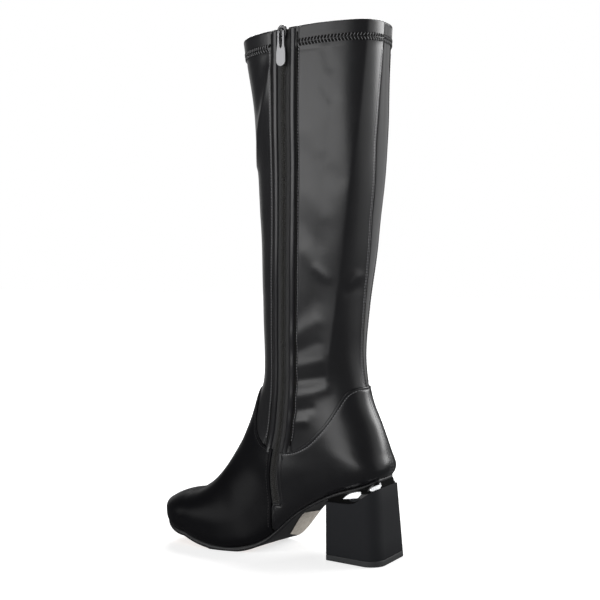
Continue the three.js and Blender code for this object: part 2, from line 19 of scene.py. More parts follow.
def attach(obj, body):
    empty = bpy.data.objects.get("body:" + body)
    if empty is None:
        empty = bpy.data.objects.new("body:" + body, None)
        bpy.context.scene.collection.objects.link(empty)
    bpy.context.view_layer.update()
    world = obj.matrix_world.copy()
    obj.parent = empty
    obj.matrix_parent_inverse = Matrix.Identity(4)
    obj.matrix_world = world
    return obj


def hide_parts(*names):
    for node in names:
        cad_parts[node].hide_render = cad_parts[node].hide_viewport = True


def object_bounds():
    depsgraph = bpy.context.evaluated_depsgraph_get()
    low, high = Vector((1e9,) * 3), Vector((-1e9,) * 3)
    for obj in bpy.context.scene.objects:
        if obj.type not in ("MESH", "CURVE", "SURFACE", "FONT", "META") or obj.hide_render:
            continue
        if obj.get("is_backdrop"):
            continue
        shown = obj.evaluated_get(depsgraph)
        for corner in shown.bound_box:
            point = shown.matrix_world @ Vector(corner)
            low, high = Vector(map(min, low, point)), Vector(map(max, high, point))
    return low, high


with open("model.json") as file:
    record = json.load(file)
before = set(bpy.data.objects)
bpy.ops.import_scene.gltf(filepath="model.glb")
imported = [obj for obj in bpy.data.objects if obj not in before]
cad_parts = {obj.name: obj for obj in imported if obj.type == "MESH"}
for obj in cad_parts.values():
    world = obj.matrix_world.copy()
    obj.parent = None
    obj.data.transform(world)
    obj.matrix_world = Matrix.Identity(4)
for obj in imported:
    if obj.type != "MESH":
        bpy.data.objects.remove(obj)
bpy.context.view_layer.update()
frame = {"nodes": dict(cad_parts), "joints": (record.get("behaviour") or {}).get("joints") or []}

SHOE_MIDDLE = np.array([112.8, 3.1, 0.0])
MM = 0.001


def place(points):
    """Shoemaker's millimetres to the frame's metres."""
    return (np.asarray(points, float) - SHOE_MIDDLE) * MM


# %% [markdown]
# The camera comes first, because every later choice is judged through it. It stands behind the
# boot on the inner side, a little above its middle and about a metre away, so the collar is seen
# from just below and the sole from above. A close camera makes that difference; a far one with a
# long lens would flatten the boot.

# %% Camera
CAMERA_TARGET = (90.1, 0.0, 225.5)
CAMERA_AZIMUTH = 208.8
CAMERA_RISE = 2.15
CAMERA_DISTANCE = 1091.0
CAMERA_FOCAL_SHARE = 1216.3 / 600.0

camera_data = bpy.data.cameras.new("camera")
camera = bpy.data.objects.new("camera", camera_data)
bpy.context.scene.collection.objects.link(camera)
turn, rise = math.radians(CAMERA_AZIMUTH), math.radians(CAMERA_RISE)
backward = Vector((math.sin(turn) * math.cos(rise), -math.cos(turn) * math.cos(rise), math.sin(rise)))
target = Vector(place(CAMERA_TARGET))
camera.location = target + backward * CAMERA_DISTANCE * MM
camera.rotation_euler = backward.to_track_quat("Z", "Y").to_euler()
camera_data.sensor_width = 36.0
camera_data.lens = 36.0 * CAMERA_FOCAL_SHARE
camera_data.clip_start = 0.05
bpy.context.scene.camera = camera
print("camera at", tuple(round(c, 3) for c in camera.location), "lens", round(camera_data.lens, 1))

# %% [markdown]
# A boot is built on a last, so the form is a table of oval sections from the collar to the toe.
# A spline runs through the rows, and each section is an oval with its own squareness in front and
# behind. That keeps the whole shape in one short table that can be read and changed by hand.

# %% The last
# front_x, front_z, back_x, back_z, half_inner, half_outer, centre_y, widest, square_front, square_back
LAST = np.array([
    [139.5, 454.0, 5.2, 463.5, 47, 47, 0, 0.5, 2.3, 2.3],
    [131.8, 400, 7.3, 400, 46, 46, 0, 0.5, 2.2, 2.2],
    [127.5, 340, 8.7, 340, 43.5, 43.5, 0, 0.5, 2.1, 2.1],
    [124.9, 280, 15.7, 280, 40, 40, 0, 0.5, 2.1, 2.1],
    [123.9, 220, 22.9, 220, 36, 36, 0, 0.5, 2, 2],
    [123.1, 178, 26.4, 176, 33, 33, 0, 0.5, 2, 2],
    [124.6, 153, 21.4, 142, 32, 32, 0, 0.5, 2, 2],
    [130.5, 138, 10.8, 116, 32, 32, 0, 0.46, 2, 2],
    [134.6, 126.3, 3.7, 95, 32, 32, 0, 0.4, 2, 2.2],
    [138.6, 115.8, 0.8, 80, 32, 32, 0, 0.34, 2, 2.6],
    [142.8, 106.3, 13, 69.5, 31.5, 31.5, 0, 0.3, 2, 3.4],
    [147.4, 97.1, 48, 57.2, 31, 32, -1, 0.32, 2, 5],
    [153.4, 88.2, 84, 37.5, 31, 34, -3, 0.34, 2, 7],
    [158.9, 78.3, 112, 13, 34, 37, -2, 0.33, 2, 8],
    [164.6, 68, 132, 4.9, 37.5, 41, 0, 0.32, 2.1, 8],
    [172.6, 58.4, 152, 3.6, 39.5, 42, 1, 0.33, 2.2, 8],
    [182.9, 50.9, 174, 6.8, 38.2, 39.2, 2, 0.36, 2.3, 7],
    [194, 46.4, 192, 12, 35.4, 36, 2.5, 0.4, 2.4, 6],
])
TOE_TIP = np.array([224.0, 27.5])
TOE_FULLNESS = 0.95
WALL = 1.8
OVERLAY = 1.2
LAST_ROW = len(LAST) - 1


def spline_rows(rows, t):
    """Rows of a table read at fractional positions t, on a Catmull-Rom spline."""
    t = np.clip(np.asarray(t, float), 0, len(rows) - 1)
    i = np.minimum(t.astype(int), len(rows) - 2)
    f = (t - i)[:, None]
    p1, p2 = rows[i], rows[i + 1]
    p0 = np.where((i == 0)[:, None], 2 * p1 - p2, rows[np.maximum(i - 1, 0)])
    p3 = np.where((i == len(rows) - 2)[:, None], 2 * p2 - p1, rows[np.minimum(i + 2, len(rows) - 1)])
    return 0.5 * (2 * p1 + (p2 - p0) * f + (2 * p0 - 5 * p1 + 4 * p2 - p3) * f ** 2
                  + (3 * p1 - p0 - 3 * p2 + p3) * f ** 3)


def sections_at(t):
    """Section rows at t; beyond the last row the sections close round the toe, 1 being the tip."""
    rows = spline_rows(LAST, t)
    beyond = np.clip(np.asarray(t, float) - LAST_ROW, 0, 1)
    a = beyond * math.pi / 2
    shrink = np.maximum(np.cos(a), 0.001) ** TOE_FULLNESS
    end = LAST[-1]
    mid = (end[0:2] + end[2:4]) / 2
    centre = mid + (TOE_TIP - mid) * np.sin(a)[:, None]
    toe = beyond > 0
    rows[toe, 0:2] = (centre + (end[0:2] - mid) * shrink[:, None])[toe]
    rows[toe, 2:4] = (centre + (end[2:4] - mid) * shrink[:, None])[toe]
    rows[toe, 4:6] = (end[4:6] * shrink[:, None])[toe]
    return rows


def ring(row, count):
    """One section as points evenly spaced round it, from the front over the inner side."""
    fx, fz, bx, bz, inner, outer, cy, widest, sq_front, sq_back = row
    front, back = np.array([fx, 0, fz]), np.array([bx, 0, bz])
    length = np.linalg.norm(front - back)
    along = (front - back) / length
    centre = back + widest * length * along
    centre[1] = cy
    angle = np.linspace(0, 2 * math.pi, 1441)
    c, s = np.cos(angle), np.sin(angle)
    n = np.where(c >= 0, sq_front, sq_back)
    reach = (np.abs(c) ** n + np.abs(s) ** n) ** (-1 / n)
    a = reach * c * np.where(c >= 0, 1 - widest, widest) * length
    b = reach * s * np.where(s >= 0, inner, outer)
    dense = centre + a[:, None] * along + b[:, None] * np.array([0, 1, 0])
    points = []
    for half in (dense[:721], dense[720:]):
        run = np.concatenate([[0], np.cumsum(np.linalg.norm(np.diff(half, axis=0), axis=1))])
        at = np.linspace(0, run[-1], count // 2 + 1)[:-1]
        points.append(np.stack([np.interp(at, run, half[:, k]) for k in range(3)], -1))
    return np.concatenate(points)


def grid_normals(grid):
    """Outward unit normals of a closed-round grid of points (rows down the form, columns round)."""
    down = np.gradient(grid, axis=0)
    around = np.roll(grid, -1, 1) - np.roll(grid, 1, 1)
    normal = np.cross(down, around)
    length = np.linalg.norm(normal, axis=2, keepdims=True)
    normal = normal / np.maximum(length, 1e-9)
    outward = grid - grid.mean(axis=1, keepdims=True)
    if (normal * outward).sum() < 0:
        normal = -normal
    return normal


AROUND = 264
SHAFT_STEPS = 26
FOOT_STEPS = 10
t_shaft = np.linspace(0, 6, 6 * SHAFT_STEPS + 1)
t_foot = np.linspace(6, LAST_ROW, (LAST_ROW - 6) * FOOT_STEPS + 1)[1:]
t_toe = LAST_ROW + np.linspace(0, 1, 19)[1:-1] ** 0.9
T = np.concatenate([t_shaft, t_foot, t_toe, [LAST_ROW + 0.995]])
LEVEL_FORM = np.array([ring(row, AROUND) for row in sections_at(T)])
SOLE_LINE = np.concatenate([[[-12, 76.5]], LEVEL_FORM[T >= 9.6][:-3, AROUND // 2][:, [0, 2]]])


def smooth_step(f):
    f = np.clip(f, 0, 1)
    return f * f * (3 - 2 * f)


def toe_rise(x):
    """How much the toe's lower edge lifts off the line of the last near its tip."""
    return 4.5 * smooth_step((x - 184) / 38)


def sole_z(x):
    """Height of the line where upper and sole meet, before the waist's slope."""
    return np.interp(x, SOLE_LINE[:, 0], SOLE_LINE[:, 1]) + toe_rise(x)


def arch_drop(x, y):
    """How far the waist hangs lower at y than at its inner edge."""
    reach = np.where(x < 100, 28.0, 34.0)
    along = np.cos(math.pi / 2 * np.minimum(np.abs(x - 100) / reach, 1)) ** 2
    return 8.0 * along * (33 - y) / 66


over_sole = LEVEL_FORM[..., 2] - np.interp(LEVEL_FORM[..., 0], SOLE_LINE[:, 0], SOLE_LINE[:, 1])
FORM = LEVEL_FORM.copy()
FORM[..., 2] -= (1 - smooth_step((over_sole - 3) / 43)) * arch_drop(LEVEL_FORM[..., 0], LEVEL_FORM[..., 1])
FORM[..., 2] += (1 - smooth_step((over_sole - 1) / 24)) * toe_rise(LEVEL_FORM[..., 0])
FORM_NORMAL = grid_normals(FORM)
FORM_NORMAL[0, :, 2] = 0
collar_round = float(np.linalg.norm(np.diff(FORM[0], axis=0), axis=1).sum())
print("form grid", FORM.shape, "collar round", round(collar_round), "mm")

# %% [markdown]
# An empty boot of thin leather never stands perfectly smooth. Its creases are placed one by one: a
# long ridge down the inner back of the shaft where the leather folds round to the stretch panel, a
# few soft hollows, and the bends over the ankle. Each one is a short line on the side of the boot
# with a width and a height, and the skin moves along its own normal by a soft bell across it.

# %% Creases
# side (+1 inner, -1 outer), shape, width, height, then the line as x, z pairs
RIDGE = [(12.5, 464), (14, 440), (18.5, 388), (25, 329), (33.5, 262), (40.5, 219), (46, 184), (48, 160)]
CREASES = [
    (1, "soft", 5.0, -0.5, [(42, 438), (39, 424)]),
    (1, "soft", 5.0, -0.5, [(44, 408), (38, 398)]),
    (1, "soft", 9.0, 0.6, [(58, 370), (44, 345)]),
    (1, "soft", 7.0, -0.5, [(44, 345), (34, 330)]),
    (1, "soft", 9.0, 0.5, [(60, 318), (46, 300)]),
    (1, "soft", 8.0, -0.35, [(66, 292), (52, 276)]),
    (1, "soft", 7.0, 0.5, [(64, 268), (52, 250)]),
    (1, "soft", 4.0, 0.5, [(46, 246), (54, 254)]),
    (1, "soft", 8.0, -0.35, [(74, 212), (56, 226)]),
    (1, "soft", 6.0, 0.55, [(76, 196), (56, 208)]),
    (1, "soft", 5.0, -0.5, [(76, 182), (56, 190)]),
    (1, "soft", 5.0, 0.7, [(76, 169), (54, 174)]),
    (1, "soft", 4.0, -0.6, [(76, 157), (52, 161)]),
    (1, "soft", 4.5, 0.8, [(78, 142), (60, 146), (50, 150)]),
    (1, "soft", 4.0, -0.7, [(80, 130), (62, 133)]),
    (1, "soft", 4.0, 0.9, [(80, 119), (68, 121)]),
    (1, "soft", 3.5, 0.9, [(30, 242), (25, 248)]),
    (1, "soft", 3.5, -0.4, [(31, 233), (26, 237)]),
    (1, "fold", 7.0, 1.3, [(96, 425), (104, 402), (116, 372), (122, 345)]),
    (1, "soft", 7.0, -0.8, [(100, 436), (108, 412), (114, 394)]),
    (1, "soft", 9.0, 0.6, [(112, 300), (110, 240)]),
    (-1, "soft", 6.0, 1.6, [(20, 450), (24, 380), (34, 300)]),
    (-1, "soft", 8.0, -1.4, [(60, 420), (70, 360), (66, 300)]),
    (-1, "soft", 6.0, 1.2, [(48, 190), (84, 184)]),
    (-1, "soft", 5.0, -1.3, [(44, 176), (90, 170)]),
    (-1, "soft", 6.0, 1.3, [(46, 160), (92, 156)]),
    (-1, "soft", 5.0, -1.2, [(56, 144), (96, 142)]),
]
RIDGE_HEIGHT, RIDGE_ZIP_SIDE, RIDGE_BACK_SIDE, RIDGE_ROUND = 2.7, 20.0, 17.0, 0.6


def distance_to_line(x, z, line):
    """Distance in the side view from points to a polyline."""
    best = np.full(np.shape(x), 1e9)
    for (x0, z0), (x1, z1) in zip(line[:-1], line[1:]):
        dx, dz = x1 - x0, z1 - z0
        f = np.clip(((x - x0) * dx + (z - z0) * dz) / (dx * dx + dz * dz), 0, 1)
        best = np.minimum(best, np.hypot(x - x0 - f * dx, z - z0 - f * dz))
    return best


def crease_height(points):
    """How far the leather stands out of the form at each point, in millimetres."""
    x, y, z = points[..., 0], points[..., 1], points[..., 2]
    total = np.zeros(x.shape)
    for side, shape, width, height, line in CREASES:
        this_side = np.clip(side * y / 8.0 + 0.3, 0, 1)
        away = distance_to_line(x, z, line) / width
        if shape == "fold":
            away = np.sqrt(away ** 2 + 0.02) - 0.14
            bell = np.exp(-2.2 * away)
        else:
            bell = np.exp(-away ** 2)
        total += height * bell * this_side
    line = np.array(RIDGE)[::-1]
    beside = x - np.interp(z, line[:, 1], line[:, 0])
    steep = np.where(beside > 0, RIDGE_ZIP_SIDE, RIDGE_BACK_SIDE)
    from_ridge = np.sqrt(distance_to_line(x, z, RIDGE) ** 2 + RIDGE_ROUND ** 2)
    tent = np.maximum(1 + RIDGE_ROUND / steep - from_ridge / steep, 0)
    total += RIDGE_HEIGHT * tent ** 1.5 * np.clip(y / 8.0, 0, 1) * np.clip((z - 150) / 30, 0, 1)
    slack = np.sin(z / 31.0 + x / 23.0) * np.sin(z / 47.0 - y / 19.0) * 0.7
    slack += np.sin(z / 15.0 - x / 13.0) * np.sin(z / 26.0 + x / 11.0) * 0.2
    calm = np.clip((z - 150) / 60, 0, 1)
    return total + slack * calm


CREASE = crease_height(FORM)
SKIN = FORM + FORM_NORMAL * CREASE[..., None]
SKIN_NORMAL = grid_normals(SKIN)
SKIN_NORMAL[0, :, 2] = 0
print("creases stand", round(float(CREASE.min()), 2), "to", round(float(CREASE.max()), 2), "mm")


def grid_faces(rows, columns):
    """Faces of a closed-round grid, as rows of four vertex numbers."""
    i, j = np.meshgrid(np.arange(rows - 1), np.arange(columns), indexing="ij")
    k = (j + 1) % columns
    here, below = i * columns, (i + 1) * columns
    return np.stack([here + j, below + j, below + k, here + k], -1).reshape(-1, 4)


def tube_faces(rows, columns):
    """Faces of rings joined in order, each ring closed on itself."""
    return [(i * columns + j, i * columns + (j + 1) % columns,
             (i + 1) * columns + (j + 1) % columns, (i + 1) * columns + j)
            for i in range(rows - 1) for j in range(columns)]


def sheet_faces(rows, columns):
    """Faces of an open grid of points."""
    return [(i * columns + k, i * columns + k + 1, (i + 1) * columns + k + 1, (i + 1) * columns + k)
            for i in range(rows - 1) for k in range(columns - 1)]


SKIN_TREE = BVHTree.FromPolygons(SKIN.reshape(-1, 3).tolist(), grid_faces(*SKIN.shape[:2]).tolist())


def on_side(x, z, side=1):
    """Point and normal of the skin at x, z of the side view, on the inner (1) or outer (-1) side."""
    hit, normal, _, _ = SKIN_TREE.ray_cast(Vector((x, 150 * side, z)), Vector((0, -side, 0)))
    if hit is None:
        return None, None
    if normal.y * side < 0:
        normal = -normal
    return np.array(hit), np.array(normal)


# %% [markdown]
# The pattern lines are drawn on the side view, as a pattern cutter draws them on the last. The zip
# line, the top edge of the vamp, the top edge of the counter and the sole line are short tables,
# read on the same spline as the last.

# %% Pattern lines
ZIP_LINE = np.array([
    [80.5, 475], [80.5, 449], [82.5, 356], [85.5, 270], [89, 200], [90.7, 148],
    [94.8, 114], [99.2, 93], [101.2, 68], [98.8, 46.5], [97.6, 38], [97.6, 20],
])
VAMP_EDGE = np.array([[140, 151], [128, 149], [125.2, 141], [126.6, 128], [126.4, 117], [123.3, 106.5],
                      [116, 98.2], [107, 94], [96, 92.6]])
COUNTER_EDGE = np.array([[100, 92.2], [88.3, 92.6], [80, 94.6], [70, 99.6], [61, 107], [52.5, 116], [46, 125],
                         [40, 136], [34.5, 145.6], [29, 150.2], [22, 151.6], [0, 152.5]])


def smooth_line(points, per_span=8):
    return spline_rows(points, np.linspace(0, len(points) - 1, (len(points) - 1) * per_span + 1))


def zip_x(z):
    """x of the zip line at height z."""
    line = smooth_line(ZIP_LINE)[::-1]
    return np.interp(z, line[:, 1], line[:, 0])


def side_distance(x, z, outline):
    """Signed distance in the side view to a closed outline, positive inside."""
    closed = np.concatenate([outline, outline[:1]])
    distance = distance_to_line(x, z, [tuple(p) for p in closed])
    inside = np.zeros(np.shape(x), bool)
    for (x0, z0), (x1, z1) in zip(closed[:-1], closed[1:]):
        if z0 == z1:
            continue
        crosses = (z0 > z) != (z1 > z)
        inside ^= crosses & (x < (x1 - x0) * (z - z0) / (z1 - z0) + x0)
    return np.where(inside, distance, -distance)


def over_surface(field, grid):
    """A side-view distance turned into distance along the skin, by dividing by its slope there."""
    step_down = np.linalg.norm(np.gradient(grid, axis=0), axis=2)
    slope_down = np.gradient(field, axis=0) / np.maximum(step_down, 1e-6)
    around = (np.roll(field, -1, 1) - np.roll(field, 1, 1)) / 2
    step_around = np.linalg.norm(np.roll(grid, -1, 1) - np.roll(grid, 1, 1), axis=2) / 2
    slope_around = around / np.maximum(step_around, 1e-6)
    slope = np.sqrt(slope_down ** 2 + slope_around ** 2)
    return field / np.clip(slope, 0.12, 1.5)


print("zip from", round(float(zip_x(458)), 1), "at the collar to", round(float(zip_x(47)), 1), "at its end")

# %% [markdown]
# Every leather panel is a patch of the same skin. A patch starts as the fine grid with a number at
# each vertex that says how far inside the pattern line it lies. The mesh is then cut along chosen
# values of that number, as a knife would, so the panel's edge and its stitch line are real edges
# however they cross the grid. The panel's height over the skin is a function of the same number,
# which gives a rounded edge and a pressed stitch groove.

# %% Cutting a patch from the skin
SNAP = 0.02
CLEAR_OF_EDGE = -4.0


def cut_level(mesh, layer, level):
    """Splits edges and faces along one value of a vertex number; a vertex very near takes the value."""
    on_level = {}
    for edge in list(mesh.edges):
        a, b = edge.verts
        fa, fb = a[layer] - level, b[layer] - level
        if fa * fb < 0 and min(abs(fa), abs(fb)) > SNAP:
            share = fa / (fa - fb)
            co = a.co.lerp(b.co, share)
            normal = [a[k] + (b[k] - a[k]) * share for k in NORMAL_LAYERS]
            _, vert = bmesh.utils.edge_split(edge, a, share)
            vert.co = co
            vert[layer] = level
            for k, v in zip(NORMAL_LAYERS, normal):
                vert[k] = v
            on_level[vert] = True
        elif fa * fb < 0:
            near = a if abs(fa) < abs(fb) else b
            near[layer] = level
            on_level[near] = True
    # a dict keeps its order, which a set does not, so every run cuts and stitches alike
    for face in dict.fromkeys(f for v in on_level for f in v.link_faces):
        ends = [v for v in face.verts if abs(v[layer] - level) < 1e-6]
        if len(ends) == 2 and not any(ends[0] in e.verts and ends[1] in e.verts for e in face.edges):
            bmesh.utils.face_split(face, ends[0], ends[1])


NORMAL_LAYERS = []


def patch(points, normals, inside, levels, height):
    """A panel cut from the skin, as a bmesh and the layer that holds its distance inside the line."""
    mesh = bmesh.new()
    # all layers are made first, because making one invalidates those already fetched
    for key in ("inside", "nx", "ny", "nz"):
        mesh.verts.layers.float.new(key)
    layer, *NORMAL_LAYERS[:] = [mesh.verts.layers.float[key] for key in ("inside", "nx", "ny", "nz")]
    flat, flat_normal, flat_inside = points.reshape(-1, 3), normals.reshape(-1, 3), inside.reshape(-1)
    faces = grid_faces(*points.shape[:2])
    faces = faces[(flat_inside > CLEAR_OF_EDGE)[faces].any(axis=1)]
    verts = {}
    for v in np.unique(faces):
        vert = mesh.verts.new(flat[v])
        vert[layer] = float(flat_inside[v])
        for k, value in zip(NORMAL_LAYERS, flat_normal[v]):
            vert[k] = float(value)
        verts[int(v)] = vert
    for face in faces:
        mesh.faces.new([verts[int(v)] for v in face])
    for level in levels:
        cut_level(mesh, layer, level)
    gone = [f for f in mesh.faces if sum(v[layer] for v in f.verts) / len(f.verts) < levels[0]]
    bmesh.ops.delete(mesh, geom=gone, context="FACES")
    for vert in mesh.verts:
        n = Vector([vert[k] for k in NORMAL_LAYERS]).normalized()
        for k, value in zip(NORMAL_LAYERS, n):
            vert[k] = value
        vert.co += n * float(height(vert[layer]))
    return mesh, layer


def level_curves(mesh, layer, level):
    """The chains of edges that lie on one level, as lists of (point, normal)."""
    links = {}
    for edge in mesh.edges:
        a, b = edge.verts
        if abs(a[layer] - level) < 1e-4 and abs(b[layer] - level) < 1e-4:
            links.setdefault(a, []).append(b)
            links.setdefault(b, []).append(a)
    chains, seen = [], set()
    starts = [v for v in links if len(links[v]) == 1] + list(links)
    for start in starts:
        if start in seen:
            continue
        chain, here = [start], start
        seen.add(start)
        while True:
            ahead = [v for v in links[here] if v not in seen]
            if not ahead:
                break
            here = ahead[0]
            seen.add(here)
            chain.append(here)
        if len(chain) > 4:
            chains.append([(np.array(v.co), np.array([v[k] for k in NORMAL_LAYERS])) for v in chain])
    return chains


def finish_mesh(name, mesh, material, body="boot"):
    """A bmesh in shoemaker's millimetres becomes a smooth-shaded piece on a body."""
    for vert in mesh.verts:
        vert.co = Vector(place(vert.co))
    data = bpy.data.meshes.new(name)
    mesh.to_mesh(data)
    mesh.free()
    return show(name, data, material, body)


def show(name, data, material, body="boot"):
    data.shade_smooth()
    data.materials.append(material)
    piece = bpy.data.objects.new(name, data)
    bpy.context.scene.collection.objects.link(piece)
    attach(piece, body)
    return piece


def solid_piece(name, points, faces, material, body="boot"):
    """Points in shoemaker's millimetres and faces become a piece on a body."""
    data = bpy.data.meshes.new(name)
    data.from_pydata(place(points).tolist(), [], [list(map(int, f)) for f in faces])
    data.validate()
    return show(name, data, material, body)


# %% [markdown]
# The finishes are node materials. The leather is a smooth coated synthetic: nearly black, half
# matte, with a very fine pebble in its bump and slow changes in its shine, so a highlight breaks up
# a little. The zip tape is a ribbed weave, the heel seat is gloss, the block has a matte cover, and
# the pull is satin metal. A number that is the same all over goes straight on the shader's socket.

# %% Materials
def new_material(name, colour, roughness, metallic=0.0, specular=0.5, coat=0.0, sheen=0.0):
    material = bpy.data.materials.new(name)
    material.use_nodes = True
    shader = material.node_tree.nodes["Principled BSDF"]
    shader.inputs["Base Color"].default_value = (*colour, 1)
    shader.inputs["Roughness"].default_value = roughness
    shader.inputs["Metallic"].default_value = metallic
    shader.inputs["Specular IOR Level"].default_value = specular
    shader.inputs["Coat Weight"].default_value = coat
    shader.inputs["Coat Roughness"].default_value = 0.25
    shader.inputs["Sheen Weight"].default_value = sheen
    return material, shader


def add(tree, kind, **values):
    node = tree.nodes.new(kind)
    for key, value in values.items():
        if key in node.inputs:
            node.inputs[key].default_value = value
        else:
            setattr(node, key, value)
    return node


def link(tree, source, output, target, socket):
    tree.links.new(source.outputs[output], target.inputs[socket])


def texture_on(tree, kind, **values):
    """A texture laid by the object's own coordinates."""
    where, texture = add(tree, "ShaderNodeTexCoord"), add(tree, kind, **values)
    link(tree, where, "Object", texture, "Vector")
    return texture


def bump_by(tree, shader, source, output, strength, depth):
    bump = add(tree, "ShaderNodeBump", Strength=strength, Distance=depth)
    link(tree, source, output, bump, "Height")
    link(tree, bump, "Normal", shader, "Normal")


def shine_by(tree, shader, source, low, high):
    """Roughness between two values, led by a texture."""
    shine = add(tree, "ShaderNodeMapRange")
    shine.inputs["To Min"].default_value = low
    shine.inputs["To Max"].default_value = high
    link(tree, source, "Fac", shine, "Value")
    link(tree, shine, "Result", shader, "Roughness")


def tint_by(tree, shader, source, dark, light):
    """Base colour between two tones, led by a texture."""
    tint = add(tree, "ShaderNodeMix", data_type="RGBA")
    tint.inputs["A"].default_value = (*dark, 1)
    tint.inputs["B"].default_value = (*light, 1)
    link(tree, source, "Fac", tint, "Factor")
    link(tree, tint, "Result", shader, "Base Color")


def tone(colour, factor):
    return [c * factor for c in colour]


def leather(name, colour, roughness, grain=0.25, specular=0.5):
    """Coated synthetic leather: fine pebble bump, slow change of colour and shine."""
    material, shader = new_material(name, colour, roughness, specular=specular)
    tree = material.node_tree
    cells = texture_on(tree, "ShaderNodeTexVoronoi", Scale=900.0)
    fine = texture_on(tree, "ShaderNodeTexNoise", Scale=2400.0, Detail=3.0)
    slow = texture_on(tree, "ShaderNodeTexNoise", Scale=34.0, Detail=4.0)
    blend = add(tree, "ShaderNodeMath", operation="ADD")
    link(tree, cells, "Distance", blend, 0)
    link(tree, fine, "Fac", blend, 1)
    bump_by(tree, shader, blend, 0, grain, 0.00008)
    shine_by(tree, shader, slow, roughness - 0.05, roughness + 0.07)
    tint_by(tree, shader, slow, tone(colour, 0.85), tone(colour, 1.2))
    return material


def woven(name, colour, roughness, scale, direction="Z", depth=0.0002, contrast=0.5):
    """A ribbed or woven cloth: bands in one direction in the bump and a little in the colour."""
    material, shader = new_material(name, colour, roughness, sheen=0.2)
    tree = material.node_tree
    ribs = texture_on(tree, "ShaderNodeTexWave", Scale=scale, Distortion=0.4, Detail=1.0,
                      bands_direction=direction)
    bump_by(tree, shader, ribs, "Fac", 0.6, depth)
    tint_by(tree, shader, ribs, tone(colour, 1 - contrast), tone(colour, 1 + contrast))
    return material


def plain_grain(name, colour, roughness, scale=600.0, depth=0.00005, **more):
    """A moulded or covered surface: a fine grain in the bump and in the shine."""
    material, shader = new_material(name, colour, roughness, **more)
    tree = material.node_tree
    noise = texture_on(tree, "ShaderNodeTexNoise", Scale=scale, Detail=4.0)
    bump_by(tree, shader, noise, "Fac", 0.4, depth)
    shine_by(tree, shader, noise, max(roughness - 0.05, 0.02), roughness + 0.05)
    return material


def mottled(name, dark, light, roughness, scale):
    """A worn plain surface: two tones mixed by a cloudy noise, with a fine bump."""
    material, shader = new_material(name, dark, roughness, specular=0.2)
    tree = material.node_tree
    noise = texture_on(tree, "ShaderNodeTexNoise", Scale=scale, Detail=6.0)
    tint_by(tree, shader, noise, dark, light)
    bump_by(tree, shader, noise, "Fac", 0.4, 0.0001)
    return material


SHAFT_LEATHER = leather("shaft_leather", (0.006, 0.006, 0.0068), 0.31, grain=0.3, specular=0.42)
FOOT_LEATHER = leather("foot_leather", (0.0048, 0.0048, 0.0056), 0.29, grain=0.2, specular=0.36)
# The vamp's leather is the foot leather with a darker base colour, which is painted shade over the vamp, and
# a weaker shine set by its specular.
VAMP_LEATHER_SHADED = leather("vamp_leather_painted_shade", (0.0034, 0.0034, 0.004), 0.33, grain=0.2, specular=0.06)
FACING_LEATHER = leather("facing_leather", (0.006, 0.006, 0.007), 0.3, grain=0.15, specular=0.45)
PANEL_STRETCH = woven("stretch_panel", (0.007, 0.007, 0.008), 0.85, 320.0, "Z", 0.00010, 0.02)
LINING = woven("lining_cloth", (0.02, 0.019, 0.018), 0.8, 500.0, "Z", 0.0001, 0.2)
THREAD = plain_grain("thread", (0.012, 0.012, 0.013), 0.5, 3000.0, 0.00004, specular=0.3)
# The next two threads are the dark thread made pale as a painted highlight, so the stitches show where real
# thread catches the light.
THREAD_PAINTED_HIGHLIGHT = plain_grain("thread_painted_highlight", (0.12, 0.12, 0.125), 0.5, 3000.0, 0.00004, specular=0.4)
HEM_PAINTED_HIGHLIGHT = plain_grain("hem_painted_highlight", (0.13, 0.13, 0.135), 0.5, 3000.0, 0.00004, specular=0.4)
# This near-black finish is not thread: its bars are laid in grooves and needle holes as painted shade.
GROOVE_PAINTED_SHADE = plain_grain("groove_painted_shade", (0.002, 0.002, 0.002), 0.6, 3000.0, 0.00004, specular=0.15)
TAPE = woven("zip_tape", (0.003, 0.003, 0.0034), 0.7, 420.0, "Z", 0.00015, 0.08)
COIL = plain_grain("zip_coil", (0.02, 0.0195, 0.018), 0.36, 2000.0, 0.00002, specular=0.25)
ENAMEL = plain_grain("slider_enamel", (0.008, 0.008, 0.009), 0.25, 800.0, 0.00001, coat=0.3)
PULL_METAL = plain_grain("pull_metal", (0.22, 0.22, 0.225), 0.42, 1200.0, 0.00001, metallic=0.85)
SEAT_GLOSS = plain_grain("seat_gloss", (0.002, 0.002, 0.002), 0.14, 500.0, 0.00001, specular=0.2)
# This near-white finish is painted light for the bright openings in the heel's neck, not a bright part of the
# heel.
WINDOW_PAINTED_LIGHT = plain_grain("heel_window_painted_light", (0.9, 0.91, 0.93), 0.3, 500.0, 0.00001, metallic=0.1)
HEEL_COVER = plain_grain("heel_cover", (0.0095, 0.010, 0.0115), 0.7, 900.0, 0.00005, specular=0.12)
LIFT_RUBBER = plain_grain("lift_rubber", (0.018, 0.019, 0.020), 0.6, 700.0, 0.0001, specular=0.3)
SOLE_EDGE = plain_grain("sole_edge", (0.007, 0.007, 0.008), 0.45, 700.0, 0.00004, specular=0.3)
PATCH_GREIGE = mottled("patch_greige", (0.20, 0.175, 0.145), (0.42, 0.39, 0.35), 0.7, 260.0)
SOLE_TAN = plain_grain("sole_tan", (0.23, 0.13, 0.07), 0.6, 500.0, 0.0001)
print("materials", len(bpy.data.materials))

# %% [markdown]
# The shaft is one sheet of leather from the collar down to under the vamp and counter. It is open
# along the zip, and a stretch panel is set into its back, so the patch ends at those lines. The
# hem stands a little proud for the top 17 mm, where the leather is folded to the inside.

# %% Shaft
HEM = 17.0
ZIP_OPENING = 4.1
TAPE_SHOWS = 6.6
FACING_EDGE = 12.2


